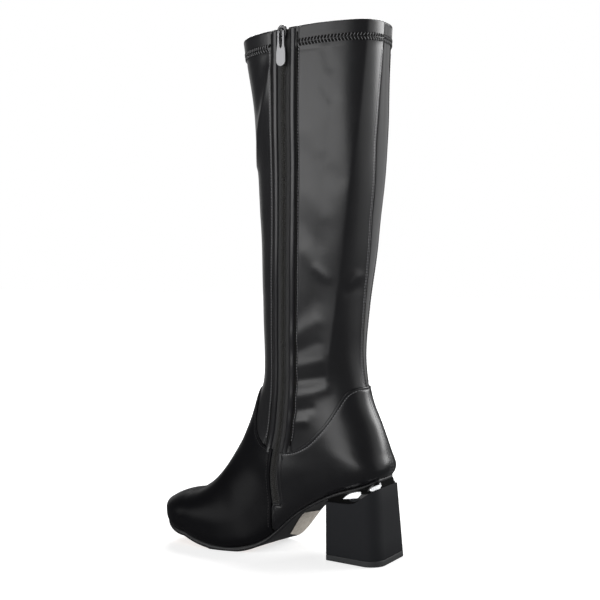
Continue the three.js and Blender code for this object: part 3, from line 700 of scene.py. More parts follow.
def collar_distance(grid):
    """Distance down from the collar edge along each column."""
    step = np.linalg.norm(np.diff(grid, axis=0), axis=2)
    return np.concatenate([np.zeros((1, grid.shape[1])), np.cumsum(step, axis=0)])


def under_overlays(margin):
    """Outline of the shaft leather in the side view: down to a margin below the overlay edges."""
    vamp = smooth_line(VAMP_EDGE)
    counter = smooth_line(COUNTER_EDGE)
    low = np.concatenate([vamp[:-6], counter[6:]])
    front, rear = [[160, 600], [160, 151 - margin]], [[-40, 152.5 - margin], [-40, 600]]
    return np.concatenate([front, low - [0, margin], rear])


X, Y, Z = SKIN[..., 0], SKIN[..., 1], SKIN[..., 2]
INNER = Y > 0
PANEL_CENTRE = -4.0
PANEL_WIDTHS = ([150, 235, 300, 360, 400, 440, 470], [4.0, 7.0, 13.0, 15.0, 13.5, 10.6, 9.5])
panel_half = np.interp(Z, *PANEL_WIDTHS)
panel_inside = np.where((X < 60) & (Z > 120), panel_half - np.abs(Y - PANEL_CENTRE), -60.0)
zip_beside = np.where(INNER & (Z > 40), np.abs(X - zip_x(Z)), 60.0)
zip_beside = np.where(INNER, over_surface(zip_beside, SKIN), 60.0)
DOWN = collar_distance(SKIN)

shaft_inside = over_surface(side_distance(X, Z, under_overlays(9.0)), SKIN)
shaft_inside = np.minimum(shaft_inside, 200)
shaft_inside = np.minimum(shaft_inside, zip_beside - TAPE_SHOWS)
shaft_inside = np.minimum(shaft_inside, -panel_inside)


def rounded_edge(distance, thickness, radius=0.9):
    """Height of a leather edge that rises from nothing to its thickness in a quarter round."""
    d = np.clip(distance / radius, 0, 1)
    return thickness * np.sqrt(np.maximum(1 - (1 - d) ** 2, 0))


hem_lift = 0.55 * np.clip((HEM + 0.8 - DOWN) / 1.2, 0, 1) - 0.25 * np.exp(-((DOWN - HEM - 1.2) / 0.9) ** 2)
beside_facing = -1.2 * np.exp(-((zip_beside - FACING_EDGE - 1.0) / 1.2) ** 2)
beside_panel = -0.6 * np.exp(-((panel_inside + 0.4) / 1.0) ** 2)
SHAFT_POINTS = SKIN + SKIN_NORMAL * (hem_lift + beside_facing + beside_panel)[..., None]
SHAFT_EDGE = 0.55
mesh, layer = patch(SHAFT_POINTS, SKIN_NORMAL, shaft_inside, [0.0, 0.5, 1.1, 2.0],
                    lambda d: rounded_edge(d, SHAFT_EDGE) - SHAFT_EDGE)
shaft = finish_mesh("shaft", mesh, SHAFT_LEATHER)
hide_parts("shaft")
print("shaft faces", len(shaft.data.polygons))

# %% [markdown]
# The collar's edge is the folded leather turned over the wall: a half round from the outer skin to
# the lining. It is swept round the top ring, and it stops either side of the zip.

# %% Collar roll
COLLAR_Z = 458
ROLL_HALF, ROLL_RISE, ROLL_TUCK = 1.15, 1.1, 8.0


def collar_roll():
    """Points and faces of the half round, swept from one side of the zip to the other."""
    top, normal = SHAFT_POINTS[0], SKIN_NORMAL[0]
    from_zip = np.abs(top[:, 0] - zip_x(COLLAR_Z))
    at_zip = (top[:, 1] > 0) & (from_zip < ZIP_OPENING + 0.2)
    start = int(np.argmin(from_zip + 200 * (top[:, 1] < 0)))
    order = sorted(np.flatnonzero(~at_zip), key=lambda j: (j - start) % AROUND)
    half_round = [(-ROLL_HALF + ROLL_HALF * math.cos(a), ROLL_RISE * math.sin(a))
                  for a in np.linspace(0, math.pi, 9)]
    profile = [(0.0, -1.0)] + half_round + [(0.3 - WALL, -ROLL_TUCK)]
    points = [top[j] + normal[j] * out + np.array([0, 0, up]) for j in order for out, up in profile]
    return np.array(points), sheet_faces(len(order), len(profile))


roll = solid_piece("collar_roll", *collar_roll(), SHAFT_LEATHER)

# %% [markdown]
# The stretch panel is a narrow gore of elastic-backed cloth up the centre back. It sits slightly
# lower than the leather either side of it, and its fine ribs run across.

# %% Stretch panel
PANEL_SINK, PANEL_UNDER = 0.5, 0.6
panel_field = over_surface(panel_inside, SKIN) + PANEL_UNDER
mesh, layer = patch(SHAFT_POINTS, SKIN_NORMAL, panel_field, [0.0], lambda d: -PANEL_SINK)
panel = finish_mesh("stretch_panel", mesh, PANEL_STRETCH)
print("panel faces", len(panel.data.polygons))

# %% [markdown]
# The lining is the inside of the tube, the last drawn in by the wall. It is seen down the collar.

# %% Lining
inner_skin = (SKIN - SKIN_NORMAL * WALL)[::2]
lining_faces = grid_faces(*inner_skin.shape[:2])[:, ::-1]
lining = solid_piece("lining", inner_skin.reshape(-1, 3), lining_faces, LINING)
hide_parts("upper")
print("lining faces", len(lining.data.polygons))

# %% [markdown]
# The vamp and the counter are thicker leather laid over the shaft, each with a folded top edge and
# a row of topstitch 3 mm inside it. On the inner side they stop at the zip; below its end and on
# the outer side they meet in a straight seam. Both are patches of the same skin, 1.2 mm up.

# %% Vamp and counter
STITCH_INSET = 2.9
SIDE_SEAM = 103.0
SEAM_FOOT, SEAM_HEAD, ZIP_FOOT = 20, 94, 46
SEAM_GAP, SEAM_ONLY = 0.15, 1
OUTER_SEAM = ([SEAM_FOOT, SEAM_HEAD], [SIDE_SEAM, float(zip_x(SEAM_HEAD))])


def beside_zip(clear, z_values):
    """A panel's edge at a distance from the zip line, or on the outer side's seam if it is small."""
    if abs(clear) < SEAM_ONLY:
        return np.array([[np.interp(z, *OUTER_SEAM) + clear, z] for z in z_values])
    below_zip = SIDE_SEAM + math.copysign(SEAM_GAP, clear)
    return np.array([[zip_x(z) + clear if z > ZIP_FOOT else below_zip, z] for z in z_values])


def vamp_outline(clear):
    rear = beside_zip(clear, [94, 88, 80, 70, 60, 52, 46.2, 45.8, 38, 30, 20])
    edge = smooth_line(VAMP_EDGE)
    edge = edge[edge[:, 0] > rear[0, 0] + 1.5]
    return np.concatenate([[[160, 152]], edge, rear, [[SIDE_SEAM + 1, -20], [260, -20], [260, 152]]])


def counter_outline(clear):
    rear = beside_zip(-clear, [92.3, 88, 80, 70, 60, 52, 46.2, 45.8, 38, 30, 20])
    edge = smooth_line(COUNTER_EDGE)
    edge = edge[edge[:, 0] < rear[0, 0] - 1.0]
    return np.concatenate([rear[::-1], edge, [[-40, 152.5], [-40, -20], [SIDE_SEAM - 1, -20]]])


def overlay_inside(outline_for):
    inner = side_distance(X, Z, outline_for(ZIP_OPENING))
    outer = side_distance(X, Z, outline_for(0.1))
    inside = np.where(INNER, inner, outer)
    return over_surface(inside, SKIN)


def overlay_height(d):
    groove = 0.28 * math.exp(-((d - STITCH_INSET) / 0.55) ** 2)
    return float(rounded_edge(max(d, 0), OVERLAY)) - groove + 0.05


LEVELS = [0.0, 0.25, 0.7, 1.2, 2.2, STITCH_INSET, 3.6]
stitch_lines = {}
for name, outline_for in (("vamp", vamp_outline), ("counter", counter_outline)):
    mesh, layer = patch(SKIN, SKIN_NORMAL, overlay_inside(outline_for), LEVELS, overlay_height)
    stitch_lines[name] = level_curves(mesh, layer, STITCH_INSET)
    piece = finish_mesh(name, mesh, VAMP_LEATHER_SHADED if name == "vamp" else FOOT_LEATHER)
    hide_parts(name)
    print(name, "faces", len(piece.data.polygons), "stitch lines", [len(c) for c in stitch_lines[name]])

# %% [markdown]
# Stitches are short rounded bars of thread, one small mesh repeated along a line and joined. Each
# bar lies along the seam, half sunk in its groove.

# %% Stitches
def bar(length, width, height, rings=4, sides=6):
    """A rounded bar along x, as unit points and faces."""
    points = []
    for i in range(rings + 1):
        a = math.pi * i / rings
        x, r = -math.cos(a) * length / 2, max(math.sin(a), 0.15) ** 0.6
        for j in range(sides):
            b = 2 * math.pi * j / sides
            points.append((x, math.cos(b) * r * width / 2, math.sin(b) * r * height / 2))
    faces = tube_faces(rings + 1, sides)
    faces.append(tuple(range(sides)))
    faces.append(tuple(reversed(range(rings * sides, (rings + 1) * sides))))
    return np.array(points), faces


def repeat_bars(name, frames, shape, material, body="boot"):
    """Copies one bar to each frame (centre, along, up) and joins them."""
    unit, unit_faces = shape
    points, faces = [], []
    for centre, along, up in frames:
        along = along / np.linalg.norm(along)
        up = up - along * (up @ along)
        up = up / np.linalg.norm(up)
        side = np.cross(up, along)
        base = len(points) * len(unit)
        points.append(centre + unit[:, 0:1] * along + unit[:, 1:2] * side + unit[:, 2:3] * up)
        faces += [[base + v for v in f] for f in unit_faces]
    return solid_piece(name, np.concatenate(points), faces, material, body)


REACH = 0.8


def along_chain(chain, pitch):
    """Frames at an even pitch along a chain of (point, normal)."""
    points = np.array([p for p, _ in chain])
    normals = np.array([n for _, n in chain])
    run = np.concatenate([[0], np.cumsum(np.linalg.norm(np.diff(points, axis=0), axis=1))])
    at = np.arange(pitch / 2, run[-1], pitch)

    def read(values, where):
        return np.stack([np.interp(where, run, values[:, k]) for k in range(3)], -1)

    ahead, back = np.minimum(at + REACH, run[-1]), np.maximum(at - REACH, 0)
    along = read(points, ahead) - read(points, back)
    return [(c, a, n) for c, a, n in zip(read(points, at), along, read(normals, at))
            if np.linalg.norm(a) > 1e-6]


STITCH_PITCH = 2.6
STITCH = bar(1.9, 0.75, 0.7)
highlight_stitch_frames, zip_frames = [], []
for name, chains in stitch_lines.items():
    for chain in chains:
        for centre, along, up in along_chain(chain, STITCH_PITCH):
            if centre[2] < sole_z(centre[0]) + 6:
                continue
            # The counter's top-edge stitches take the pale thread as a painted highlight; the other overlay
            # stitches keep the dark thread.
            top_edge = name == "counter" and (centre[1] < 0 or centre[0] < zip_x(centre[2]) - 9)
            target = highlight_stitch_frames if top_edge else zip_frames
            target.append((centre + up * 0.06, along, up))
counter_stitches = repeat_bars("counter_stitches", highlight_stitch_frames, STITCH, THREAD_PAINTED_HIGHLIGHT)
overlay_stitches = repeat_bars("overlay_stitches", zip_frames, STITCH, THREAD)
print("overlay stitches", len(highlight_stitch_frames) + len(zip_frames))


def side_chain(points, side=1, lift=0.0):
    """A line of the side view laid on the skin."""
    chain = []
    for x, z in points:
        p, n = on_side(x, z, side)
        if p is not None:
            chain.append((p + n * lift, n))
    return chain


def back_chain(z_values, y_of, lift=0.0):
    """A line up the back of the boot laid on the skin."""
    chain = []
    for z in z_values:
        hit, normal, _, _ = SKIN_TREE.ray_cast(Vector((-60, y_of(z), z)), Vector((1, 0, 0)))
        if hit is not None:
            n = np.array(normal if normal.x < 0 else -normal)
            chain.append((np.array(hit) + n * lift, n))
    return chain


def beside_panel_chain(sign, inset, top, lift):
    """A line up the back at a distance outside the stretch panel's edge."""
    def y_of(z):
        return PANEL_CENTRE + sign * (float(np.interp(z, *PANEL_WIDTHS)) + inset)
    return back_chain(np.arange(154, top, 3.0), y_of, lift)


frames = []
for sign in (1, -1):
    for inset in (1.8, 3.6):
        frames += along_chain(beside_panel_chain(sign, inset, 444, 0.02), STITCH_PITCH)
for y in (2.2, -2.2):
    frames += along_chain(back_chain(np.arange(78, 150, 3.0), lambda z: y, OVERLAY), STITCH_PITCH)
# The back seam's stitches take the pale thread as a painted highlight.
back_stitches = repeat_bars("back_stitches", frames, STITCH, THREAD_PAINTED_HIGHLIGHT)
# Near-black bars along the stretch panel's edges are painted shade in its seams.
frames = []
for sign in (1, -1):
    frames += along_chain(beside_panel_chain(sign, 0.3, 458, -0.3), 2.0)
back_groove_shade = repeat_bars("back_groove_shade", frames, bar(3.2, 1.3, 0.8), GROOVE_PAINTED_SHADE)
print("back groove bars", len(frames))

# %% [markdown]
# The hem is held by two rows of short slanting bars that lean opposite ways. Along each row, pale
# thread made light as a painted highlight takes turns with dark bars of painted shade in the needle holes.

# %% Hem zigzag
def hem_chain(depth):
    """Points round the collar at one depth below its edge."""
    chain = []
    for j in range(AROUND + 1):
        column = j % AROUND
        d = DOWN[:, column]
        p = np.array([np.interp(depth, d, SHAFT_POINTS[:, column, k]) for k in range(3)])
        n = np.array([np.interp(depth, d, SKIN_NORMAL[:, column, k]) for k in range(3)])
        chain.append((p, n))
    return chain


ZIGZAG_PITCH = 2.9
hole_shade_frames, thread_highlight_frames = [], []
for depth, lean in ((11.6, 1), (15.0, -1)):
    chain = along_chain(hem_chain(depth), ZIGZAG_PITCH / 2)
    for i, (centre, along, up) in enumerate(chain):
        if centre[1] > 0 and abs(centre[0] - zip_x(450)) < 14.5:
            continue
        along = along / np.linalg.norm(along)
        drop = np.cross(up, along)
        target = hole_shade_frames if i % 2 else thread_highlight_frames
        target.append((centre + up * 0.1, along * 0.5 + drop * lean * 0.85, up))
# The dark bars are painted shade in the needle holes; the pale bars are thread lightened as a painted
# highlight.
hem_hole_shade_bars = repeat_bars("hem_hole_painted_shade", hole_shade_frames, bar(3.4, 2.2, 1.0), GROOVE_PAINTED_SHADE)
hem_stitches = repeat_bars("hem_stitches", thread_highlight_frames, bar(2.9, 0.55, 1.0), HEM_PAINTED_HIGHLIGHT)
print("hem stitches", len(thread_highlight_frames))

# %% [markdown]
# The zip is a nylon coil on two woven tapes. Its teeth are one small bar repeated either side of
# the centre line, half a pitch apart, and the tape is a ribbon that sinks under the leather.

# %% Zip tape, coil and facings
ZIP_TOP = 456.6
ZIP_END = 46.5
FACING_END = 90
RIBBON_STEP = 3.0


def zip_ring(z, profile):
    """Points of a cross-section (distance from the zip line, height) laid on the skin at z."""
    points = []
    for distance, height in profile:
        p, n = on_side(float(zip_x(z)) + distance, z)
        points.append(p + n * height)
    return points


def zip_ribbon(name, profile, z_from, z_to, material):
    rows = np.arange(z_from, z_to, -RIBBON_STEP)
    points = np.array([zip_ring(z, profile) for z in rows])
    return solid_piece(name, points.reshape(-1, 3), sheet_faces(len(rows), len(profile)), material)


TAPE_PROFILE = [(-8, -0.5), (-4.6, -0.4), (-1, -0.1), (1, -0.1), (4.6, -0.4), (8, -0.5)]
tape = zip_ribbon("zip_tape", TAPE_PROFILE, ZIP_TOP, ZIP_END - 1, TAPE)

FACING_PROFILE = [(6.3, -0.7), (6.35, -0.1), (6.7, 0.6), (7.4, 1.1), (8.4, 1.4), (9.4, 1.45), (10.4, 1.25),
                  (11.3, 0.75), (11.9, 0.1), (FACING_EDGE, -0.7)]
BACK_PROFILE = [(-d, h) for d, h in reversed(FACING_PROFILE)]
front_facing = zip_ribbon("zip_facing_front", FACING_PROFILE, ZIP_TOP, FACING_END, FACING_LEATHER)
back_facing = zip_ribbon("zip_facing_back", BACK_PROFILE, COLLAR_Z, FACING_END, FACING_LEATHER)
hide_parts("zip_facing_front")
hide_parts("zip_facing_back")

COIL_PITCH = 1.8
frames = []
for side in (1, -1):
    for i, z in enumerate(np.arange(ZIP_TOP - 2, ZIP_END + 0.5, -COIL_PITCH)):
        zz = z - (COIL_PITCH / 2 if side < 0 else 0)
        p, n = on_side(float(zip_x(zz)) + side * 1.05, zz)
        q, _ = on_side(float(zip_x(zz)) + side * 2.05, zz)
        frames.append((p + n * 0.35, q - p, n))
coil = repeat_bars("zip_coil", frames, bar(3.5, 1.0, 1.5), COIL)
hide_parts("zip_chain")
print("coil teeth", len(frames))

FACING_STITCH, FACING_GROOVE = 14.8, 13.0
stitch_line, groove_shade_frames = [], []
for side in (-1, 1):
    chain = side_chain([(zip_x(z) + side * FACING_STITCH, z) for z in np.arange(444, 100, -3.0)])
    stitch_line += along_chain(chain, STITCH_PITCH)
    chain = side_chain([(zip_x(z) + side * FACING_GROOVE, z) for z in np.arange(455, 98, -2.0)], lift=-0.45)
    groove_shade_frames += along_chain(chain, 2.0)
# The facing's stitches take the pale thread as a painted highlight; the near-black bars in its outer groove
# are painted shade.
facing_stitches = repeat_bars("facing_stitches", stitch_line, bar(1.5, 0.9, 0.9), THREAD_PAINTED_HIGHLIGHT)
facing_groove_shade = repeat_bars("facing_groove_shade", groove_shade_frames, bar(3.2, 2.4, 1.0), GROOVE_PAINTED_SHADE)
print("facing stitches", len(stitch_line))

# %% [markdown]
# The slider and its pull are cast metal. The pull is a flat plate with a long eye at the top,
# drawn as a filled outline with a hole and given a rounded edge by a curve bevel. It hangs from
# the slider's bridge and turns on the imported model's hinge, so it is placed from that hinge.

# %% Slider and pull
hinge = [j for j in frame["joints"] if j["name"] == "pull_swing"][0]
hinge_at = Vector(hinge["pos_m"])
across = Vector(hinge["axis"]).normalized()
up = Vector((0, 0, 1))
outward = up.cross(across).normalized()


def flat_plate(name, outlines, thickness, bevel, depth_offset, material, body):
    """Filled outlines in the hinge's frame (x across, z up), thickness along the outward axis."""
    curve = bpy.data.curves.new(name, "CURVE")
    curve.dimensions = "2D"
    curve.fill_mode = "BOTH"
    curve.extrude = (thickness / 2 - bevel) * MM
    curve.bevel_depth = bevel * MM
    curve.bevel_resolution = 2
    for outline in outlines:
        spline = curve.splines.new("POLY")
        spline.points.add(len(outline) - 1)
        for point, (x, z) in zip(spline.points, outline):
            point.co = (x * MM, z * MM, 0, 1)
        spline.use_cyclic_u = True
    temp = bpy.data.objects.new(name + "_curve", curve)
    bpy.context.scene.collection.objects.link(temp)
    bpy.context.view_layer.update()
    data = bpy.data.meshes.new_from_object(temp.evaluated_get(bpy.context.evaluated_depsgraph_get()))
    bpy.data.objects.remove(temp)
    for vert in data.vertices:
        x, z, y = vert.co
        vert.co = hinge_at + across * x + up * z + outward * (y + depth_offset * MM)
    data.name = name
    data.materials.clear()
    return show(name, data, material, body)


def arc(cx, cz, radius, start, end, steps):
    """Points of an arc between two angles in degrees."""
    turns = np.radians(np.linspace(start, end, steps))
    return [(cx + radius * math.cos(a), cz + radius * math.sin(a)) for a in turns]


def mirrored(points):
    return [(-x, z) for x, z in reversed(points)]


EYE_HALF, PADDLE_HALF, PULL_DROP = 3.0, 4.3, 29.0
PADDLE_FOOT = -PULL_DROP + 4.4
half = [(EYE_HALF - 0.3, 0.7), (EYE_HALF, -1.0), (3.1, -9.0), (3.4, -12.0), (4.0, -14.5),
        (PADDLE_HALF, -18.0), (PADDLE_HALF, PADDLE_FOOT)]
outer = half + arc(0, PADDLE_FOOT, PADDLE_HALF, 0, -180, 13)[1:-1] + mirrored(half)
eye_half = [(1.6, -0.9), (1.9, -4.0), (1.8, -9.0), (1.3, -12.6)]
eye = eye_half + arc(0, -13.0, 1.1, -20, -160, 6) + mirrored(eye_half)
pull = flat_plate("zip_pull_tab", [outer, eye], 1.3, 0.3, 0.0, PULL_METAL, "zip_pull")
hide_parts("zip_pull")

SLIDER_OUTLINE = arc(0, 1.6, 4.0, 20, 160, 9) + [(-3.9, -1.2), (-2.6, -5.3)] + [(2.6, -5.3), (3.9, -1.2)]
slider = flat_plate("slider_body", [SLIDER_OUTLINE], 1.9, 0.5, -2.1, ENAMEL, "boot")
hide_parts("zip_slider")


BRIDGE_SIDES, BRIDGE_HALF, BRIDGE_THICK = 8, 1.0, 0.6


def slider_bridge():
    """The loop over the slider that the pull hangs in: a bar swept along an arch."""
    arch = [(-3.9, -1.4), (-3.5, 0.6), (-2.4, 1.7), (-0.6, 2.1),
            (1.2, 2.0), (2.4, 1.2), (2.9, -0.2), (3.0, -1.4)]
    points = []
    for i, (z, y) in enumerate(arch):
        z0, y0 = arch[max(i - 1, 0)]
        z1, y1 = arch[min(i + 1, len(arch) - 1)]
        along = np.array([z1 - z0, y1 - y0]) / math.hypot(z1 - z0, y1 - y0)
        for j in range(BRIDGE_SIDES):
            a = 2 * math.pi * j / BRIDGE_SIDES
            x, r = BRIDGE_HALF * math.cos(a), BRIDGE_THICK * math.sin(a)
            rise, stand = z - along[1] * r, y + along[0] * r
            points.append(hinge_at + (across * x + up * rise + outward * stand) * MM)
    data = bpy.data.meshes.new("slider_bridge")
    data.from_pydata([tuple(p) for p in points], [], tube_faces(len(arch), BRIDGE_SIDES))
    return show("slider_bridge", data, ENAMEL)


bridge = slider_bridge()
print("pull drops", PULL_DROP, "mm from its hinge at", tuple(round(c, 4) for c in hinge_at))

# %% [markdown]
# The outsole follows the sole line of the last. Its outline is found by looking in from both sides
# at the skin just above the sole line, then a grid between the two sides gives the top, the bottom
# and the edge. Looking outward from the middle would meet the sloping underside of the waist first.
# Under the ball it is a tan tread; the waist is black.

# %% Outsole
def half_widths(x, lift=2.5):
    """Inner and outer edge of the upper just above the sole at x."""
    found = []
    for side in (1, -1):
        z = float(sole_z(x) - arch_drop(x, 30 * side)) + lift
        hit, _, _, _ = SKIN_TREE.ray_cast(Vector((x, 150 * side, z)), Vector((0, -side, 0)))
        found.append(hit.y if hit is not None else 0.0)
    return found


def end_x(toe):
    """Where the outline ends on the centre line, at the toe or at the heel."""
    x, out = (190, 1) if toe else (34, -1)
    z = float(sole_z(220 if toe else 6)) + 2.0
    hit, _, _, _ = SKIN_TREE.ray_cast(Vector((x, 2.5 if toe else 0, z)), Vector((out, 0, 0)))
    return hit.x


toe_end, heel_end = end_x(True), end_x(False)
SOLE_THICKNESS = np.array([[-6, 1.6], [51, 1.7], [68, 2.0], [96, 2.4], [124, 3.3], [206, 3.3], [230, 3.0]])
FOREFOOT_FLAT = (143, 163)
s = np.linspace(0, 1, 121)
ease = 0.5 - 0.5 * np.cos(np.pi * s)
sole_x = heel_end + 0.5 + (toe_end - heel_end - 1.0) * (0.35 * s + 0.65 * ease)


def sole_edges(x, inset):
    waist = np.clip((x - 50) / 25, 0, 1) - np.clip((x - 100) / 30, 0, 1)
    inner, outer = half_widths(x)
    draw = inset + 2.4 * waist
    return max(inner - draw, 0.2), min(outer + draw, -0.2)


def sole_bottom(x):
    if FOREFOOT_FLAT[0] <= x <= FOREFOOT_FLAT[1]:
        return 0.0
    near = np.interp(x, SOLE_THICKNESS[:, 0], SOLE_THICKNESS[:, 1])
    return float(sole_z(x)) - 0.3 - near


ACROSS = 10
CONTACT_EASE = 1.6


def soft_contact(height):
    """Height over the floor, eased so that the sole meets the floor without a corner."""
    near = np.clip(height, 0, CONTACT_EASE)
    return near ** 2 / (2 * CONTACT_EASE) + np.maximum(height - CONTACT_EASE, 0)


def sole_slab(name, xs, inset, top_of, bottom_of, material, radius=0.5):
    """A slab with the foot's outline between two heights, with a small round on its lower edge."""
    layers = [(0.0, 0.0), (0.0, 0.75), (radius * 0.3, 0.93), (radius, 1.0)]
    points, faces = [], []
    count = len(xs)
    for draw, depth in layers:
        for x in xs:
            inner, outer = sole_edges(x, inset + draw)
            for f in np.linspace(0, 1, ACROSS + 1):
                y = outer + (inner - outer) * f
                drop = float(arch_drop(x, y))
                top, bottom = top_of(x) - drop, float(soft_contact(bottom_of(x) - drop))
                points.append((x, y, top + (bottom - top) * depth))
    wide = ACROSS + 1

    def edge_ring(layer):
        base = layer * count * wide
        outer_run = [base + i * wide for i in range(count)]
        toe_run = [base + (count - 1) * wide + k for k in range(1, wide - 1)]
        inner_run = [base + i * wide + ACROSS for i in reversed(range(count))]
        heel_run = [base + k for k in reversed(range(1, wide - 1))]
        return outer_run + toe_run + inner_run + heel_run

    rings = [edge_ring(k) for k in range(len(layers))]
    n = len(rings[0])
    for a, b in zip(rings[:-1], rings[1:]):
        faces += [(a[j], a[(j + 1) % n], b[(j + 1) % n], b[j]) for j in range(n)]
    for layer, flip in ((0, False), (len(layers) - 1, True)):
        base = layer * count * wide
        for i in range(count - 1):
            for k in range(ACROSS):
                corner = base + i * wide + k
                quad = (corner, corner + 1, corner + wide + 1, corner + wide)
                faces.append(quad[::-1] if flip else quad)
    return solid_piece(name, points, faces, material)


outsole = sole_slab("outsole_unit", sole_x, 0.3, lambda x: float(sole_z(x)) - 0.05, sole_bottom, SOLE_EDGE)
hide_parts("outsole")
tread_x = sole_x[(sole_x > 118) & (sole_x < toe_end - 3)]


def tread_bottom(x):
    """The tread stands out of the sole in its middle and sinks into it at both ends."""
    ends = np.clip(min(x - 118, toe_end - 3 - x) / 12, 0, 1)
    return sole_bottom(x) + 0.3 - 0.55 * float(smooth_step(ends))


tread = sole_slab("forepart_tread", tread_x, 1.6, lambda x: sole_bottom(x) + 0.6, tread_bottom, SOLE_TAN)
print("sole from", round(float(heel_end), 1), "to", round(float(toe_end), 1))


PATCH_DROP = 0.5


def waist_patch():
    """A blank worn patch under the waist, laid on the slope of the sole."""
    corners = np.array([[79.5, 12.0], [103.5, -6.0], [108.5, -32.0], [84.5, -32.0]])
    points, steps = [], 12
    for u in np.linspace(0, 1, steps + 1):
        for v in np.linspace(0, 1, steps + 1):
            near, far = corners[0] * (1 - u) + corners[1] * u, corners[3] * (1 - u) + corners[2] * u
            x, y = near * (1 - v) + far * v
            y = max(y, sole_edges(x, 0.3)[1] + 1.2)
            points.append((x, y, float(soft_contact(sole_bottom(x) - float(arch_drop(x, y)))) - PATCH_DROP))
    return solid_piece("waist_patch", points, sheet_faces(steps + 1, steps + 1), PATCH_GREIGE)


bare_patch = waist_patch()

# %% [markdown]
# The heel is a stack: a gloss neck under the outsole, the matte covered block with its scooped top,
# and the top lift on the ground. The block is a loft between two rounded outlines, tighter at the
# outer rear corner, and its rim follows a curve that climbs to the back.

# %% Heel
HEEL_RIM = np.array([[52, 51.6], [40, 51.6], [30, 51.8], [24, 52.8], [19, 55.4], [14, 59], [8, 63], [2, 66]])
HEEL_LEDGE = np.array([[51, 52.8], [46, 53.7], [42, 54.7], [33, 56.3], [24, 57.3], [17, 57.8], [12, 58]])
TOP_LIFT = 5.0
HEEL_TALL = 75.0


def heel_outline(rear, rear_half, breast_x, breast_half, breast_corner=1.6):
    """Rounded outline of the block seen from above, from the inner breast corner round the back."""
    points = []
    for side, corner in ((1, CORNER_INNER), (-1, CORNER_OUTER)):
        half = []
        for a in np.radians(np.linspace(0, 90, 6)):
            half.append((breast_x - breast_corner + breast_corner * math.cos(a),
                         side * (breast_half - breast_corner + breast_corner * math.sin(a))))
        for f in np.linspace(0, 1, 13)[1:-1]:
            half.append((breast_x - breast_corner + (rear + corner - breast_x + breast_corner) * f,
                         side * (breast_half + (rear_half - breast_half) * f)))
        for a in np.radians(np.linspace(90, 180, 15)):
            half.append((rear + corner + corner * math.cos(a),
                         side * (rear_half - corner + corner * math.sin(a))))
        points += half if side > 0 else half[::-1]
    return np.array(points)


CORNER_INNER, CORNER_OUTER = 14.0, 9.0
HEEL_BASE = heel_outline(-1.9, 29.3, 52, 23.5)
HEEL_TOP = heel_outline(3.5, 25.5, 51.5, 25)
HEEL_MIDDLE = np.array([26.0, 0.0])


def heel_ring(z, shrink=0.0):
    """Outline of the block at heights z (one number, or one for each point), drawn in by shrink."""
    f = np.reshape(z, (-1, 1)) / HEEL_TALL
    outline = HEEL_BASE * (1 - f) + HEEL_TOP * f
    inward = HEEL_MIDDLE - outline
    return outline + inward * (shrink / 26.0)


def read_curve(curve, x):
    rows = curve[np.argsort(curve[:, 0])]
    dense = smooth_line(rows)
    return np.interp(x, dense[:, 0], dense[:, 1])


def rings_to_piece(name, layers, material):
    """Closed rings of equal count, capped at both ends, become a piece."""
    n = len(layers[0])
    points = np.concatenate(layers)
    faces = tube_faces(len(layers), n)
    faces.append(tuple(range(n))[::-1])
    faces.append(tuple((len(layers) - 1) * n + j for j in range(n)))
    return solid_piece(name, points, faces, material)


def heel_loft(name, shrink, bottom, top_of, material, edge=0.8):
    """A slice of the block between a flat bottom and a rim that follows top_of(x)."""
    n = len(HEEL_BASE)
    rim = top_of(heel_ring(58.0)[:, 0])
    layers = []
    for inset, lift in ((edge, 0.0), (edge * 0.3, edge * 0.3), (0.0, edge)):
        layers.append(np.column_stack([heel_ring(bottom + lift, shrink + inset), np.full(n, bottom + lift)]))
    for f in (0.25, 0.5, 0.75):
        z = bottom + edge + (rim - bottom - 2 * edge) * f
        layers.append(np.column_stack([heel_ring(z, shrink), z]))
    for inset, drop in ((0.0, edge), (edge * 0.3, edge * 0.3), (edge, 0.0)):
        layers.append(np.column_stack([heel_ring(rim - drop, shrink + inset), rim - drop]))
    for inset in (5, 10, 16, 21):
        xy = heel_ring(rim, shrink + inset)
        layers.append(np.column_stack([xy, top_of(xy[:, 0])]))
    return rings_to_piece(name, layers, material)


top_lift = heel_loft("top_lift_rubber", 0.0, 0.0, lambda x: np.full(np.shape(x), TOP_LIFT),
                     LIFT_RUBBER, edge=0.3)
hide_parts("top_lift")
block = heel_loft("heel_cover", 0.0, TOP_LIFT + 0.1, lambda x: read_curve(HEEL_RIM, x), HEEL_COVER, edge=0.5)
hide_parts("heel_block")
ledge = heel_loft("heel_ledge", 1.6, 40.0, lambda x: np.where(x > 12, read_curve(HEEL_LEDGE, x), 57.0),
                  HEEL_COVER, edge=0.5)

# %% [markdown]
# Between the block and the outsole the real heel has a gloss black neck with two bright windows and
# a slanting bar between them. The neck is lofted from the block's rim up to the outline of the
# sole. Each window is a thin near-white plate of painted light: a grid between two short curves of
# the side view, laid on the neck by looking across at it, so it bends round the corner as the neck does.

# %% Heel neck and its bright windows
def by_angle(outline, angles):
    """An outline read at polar angles about the heel's middle."""
    closed = np.concatenate([outline, outline[:1]]) - HEEL_MIDDLE
    points = []
    for a in angles:
        out = np.array([math.cos(a), math.sin(a)])
        across = closed[:, 0] * out[1] - closed[:, 1] * out[0]
        for i in range(len(closed) - 1):
            if across[i] * across[i + 1] <= 0 and across[i] != across[i + 1]:
                f = across[i] / (across[i] - across[i + 1])
                p = closed[i] + (closed[i + 1] - closed[i]) * f
                if p @ out > 0:
                    points.append(p + HEEL_MIDDLE)
                    break
    return np.array(points)


def under_outsole(x):
    near = np.interp(x, SOLE_THICKNESS[:, 0], SOLE_THICKNESS[:, 1])
    return sole_z(x) - 0.3 - near + 0.1


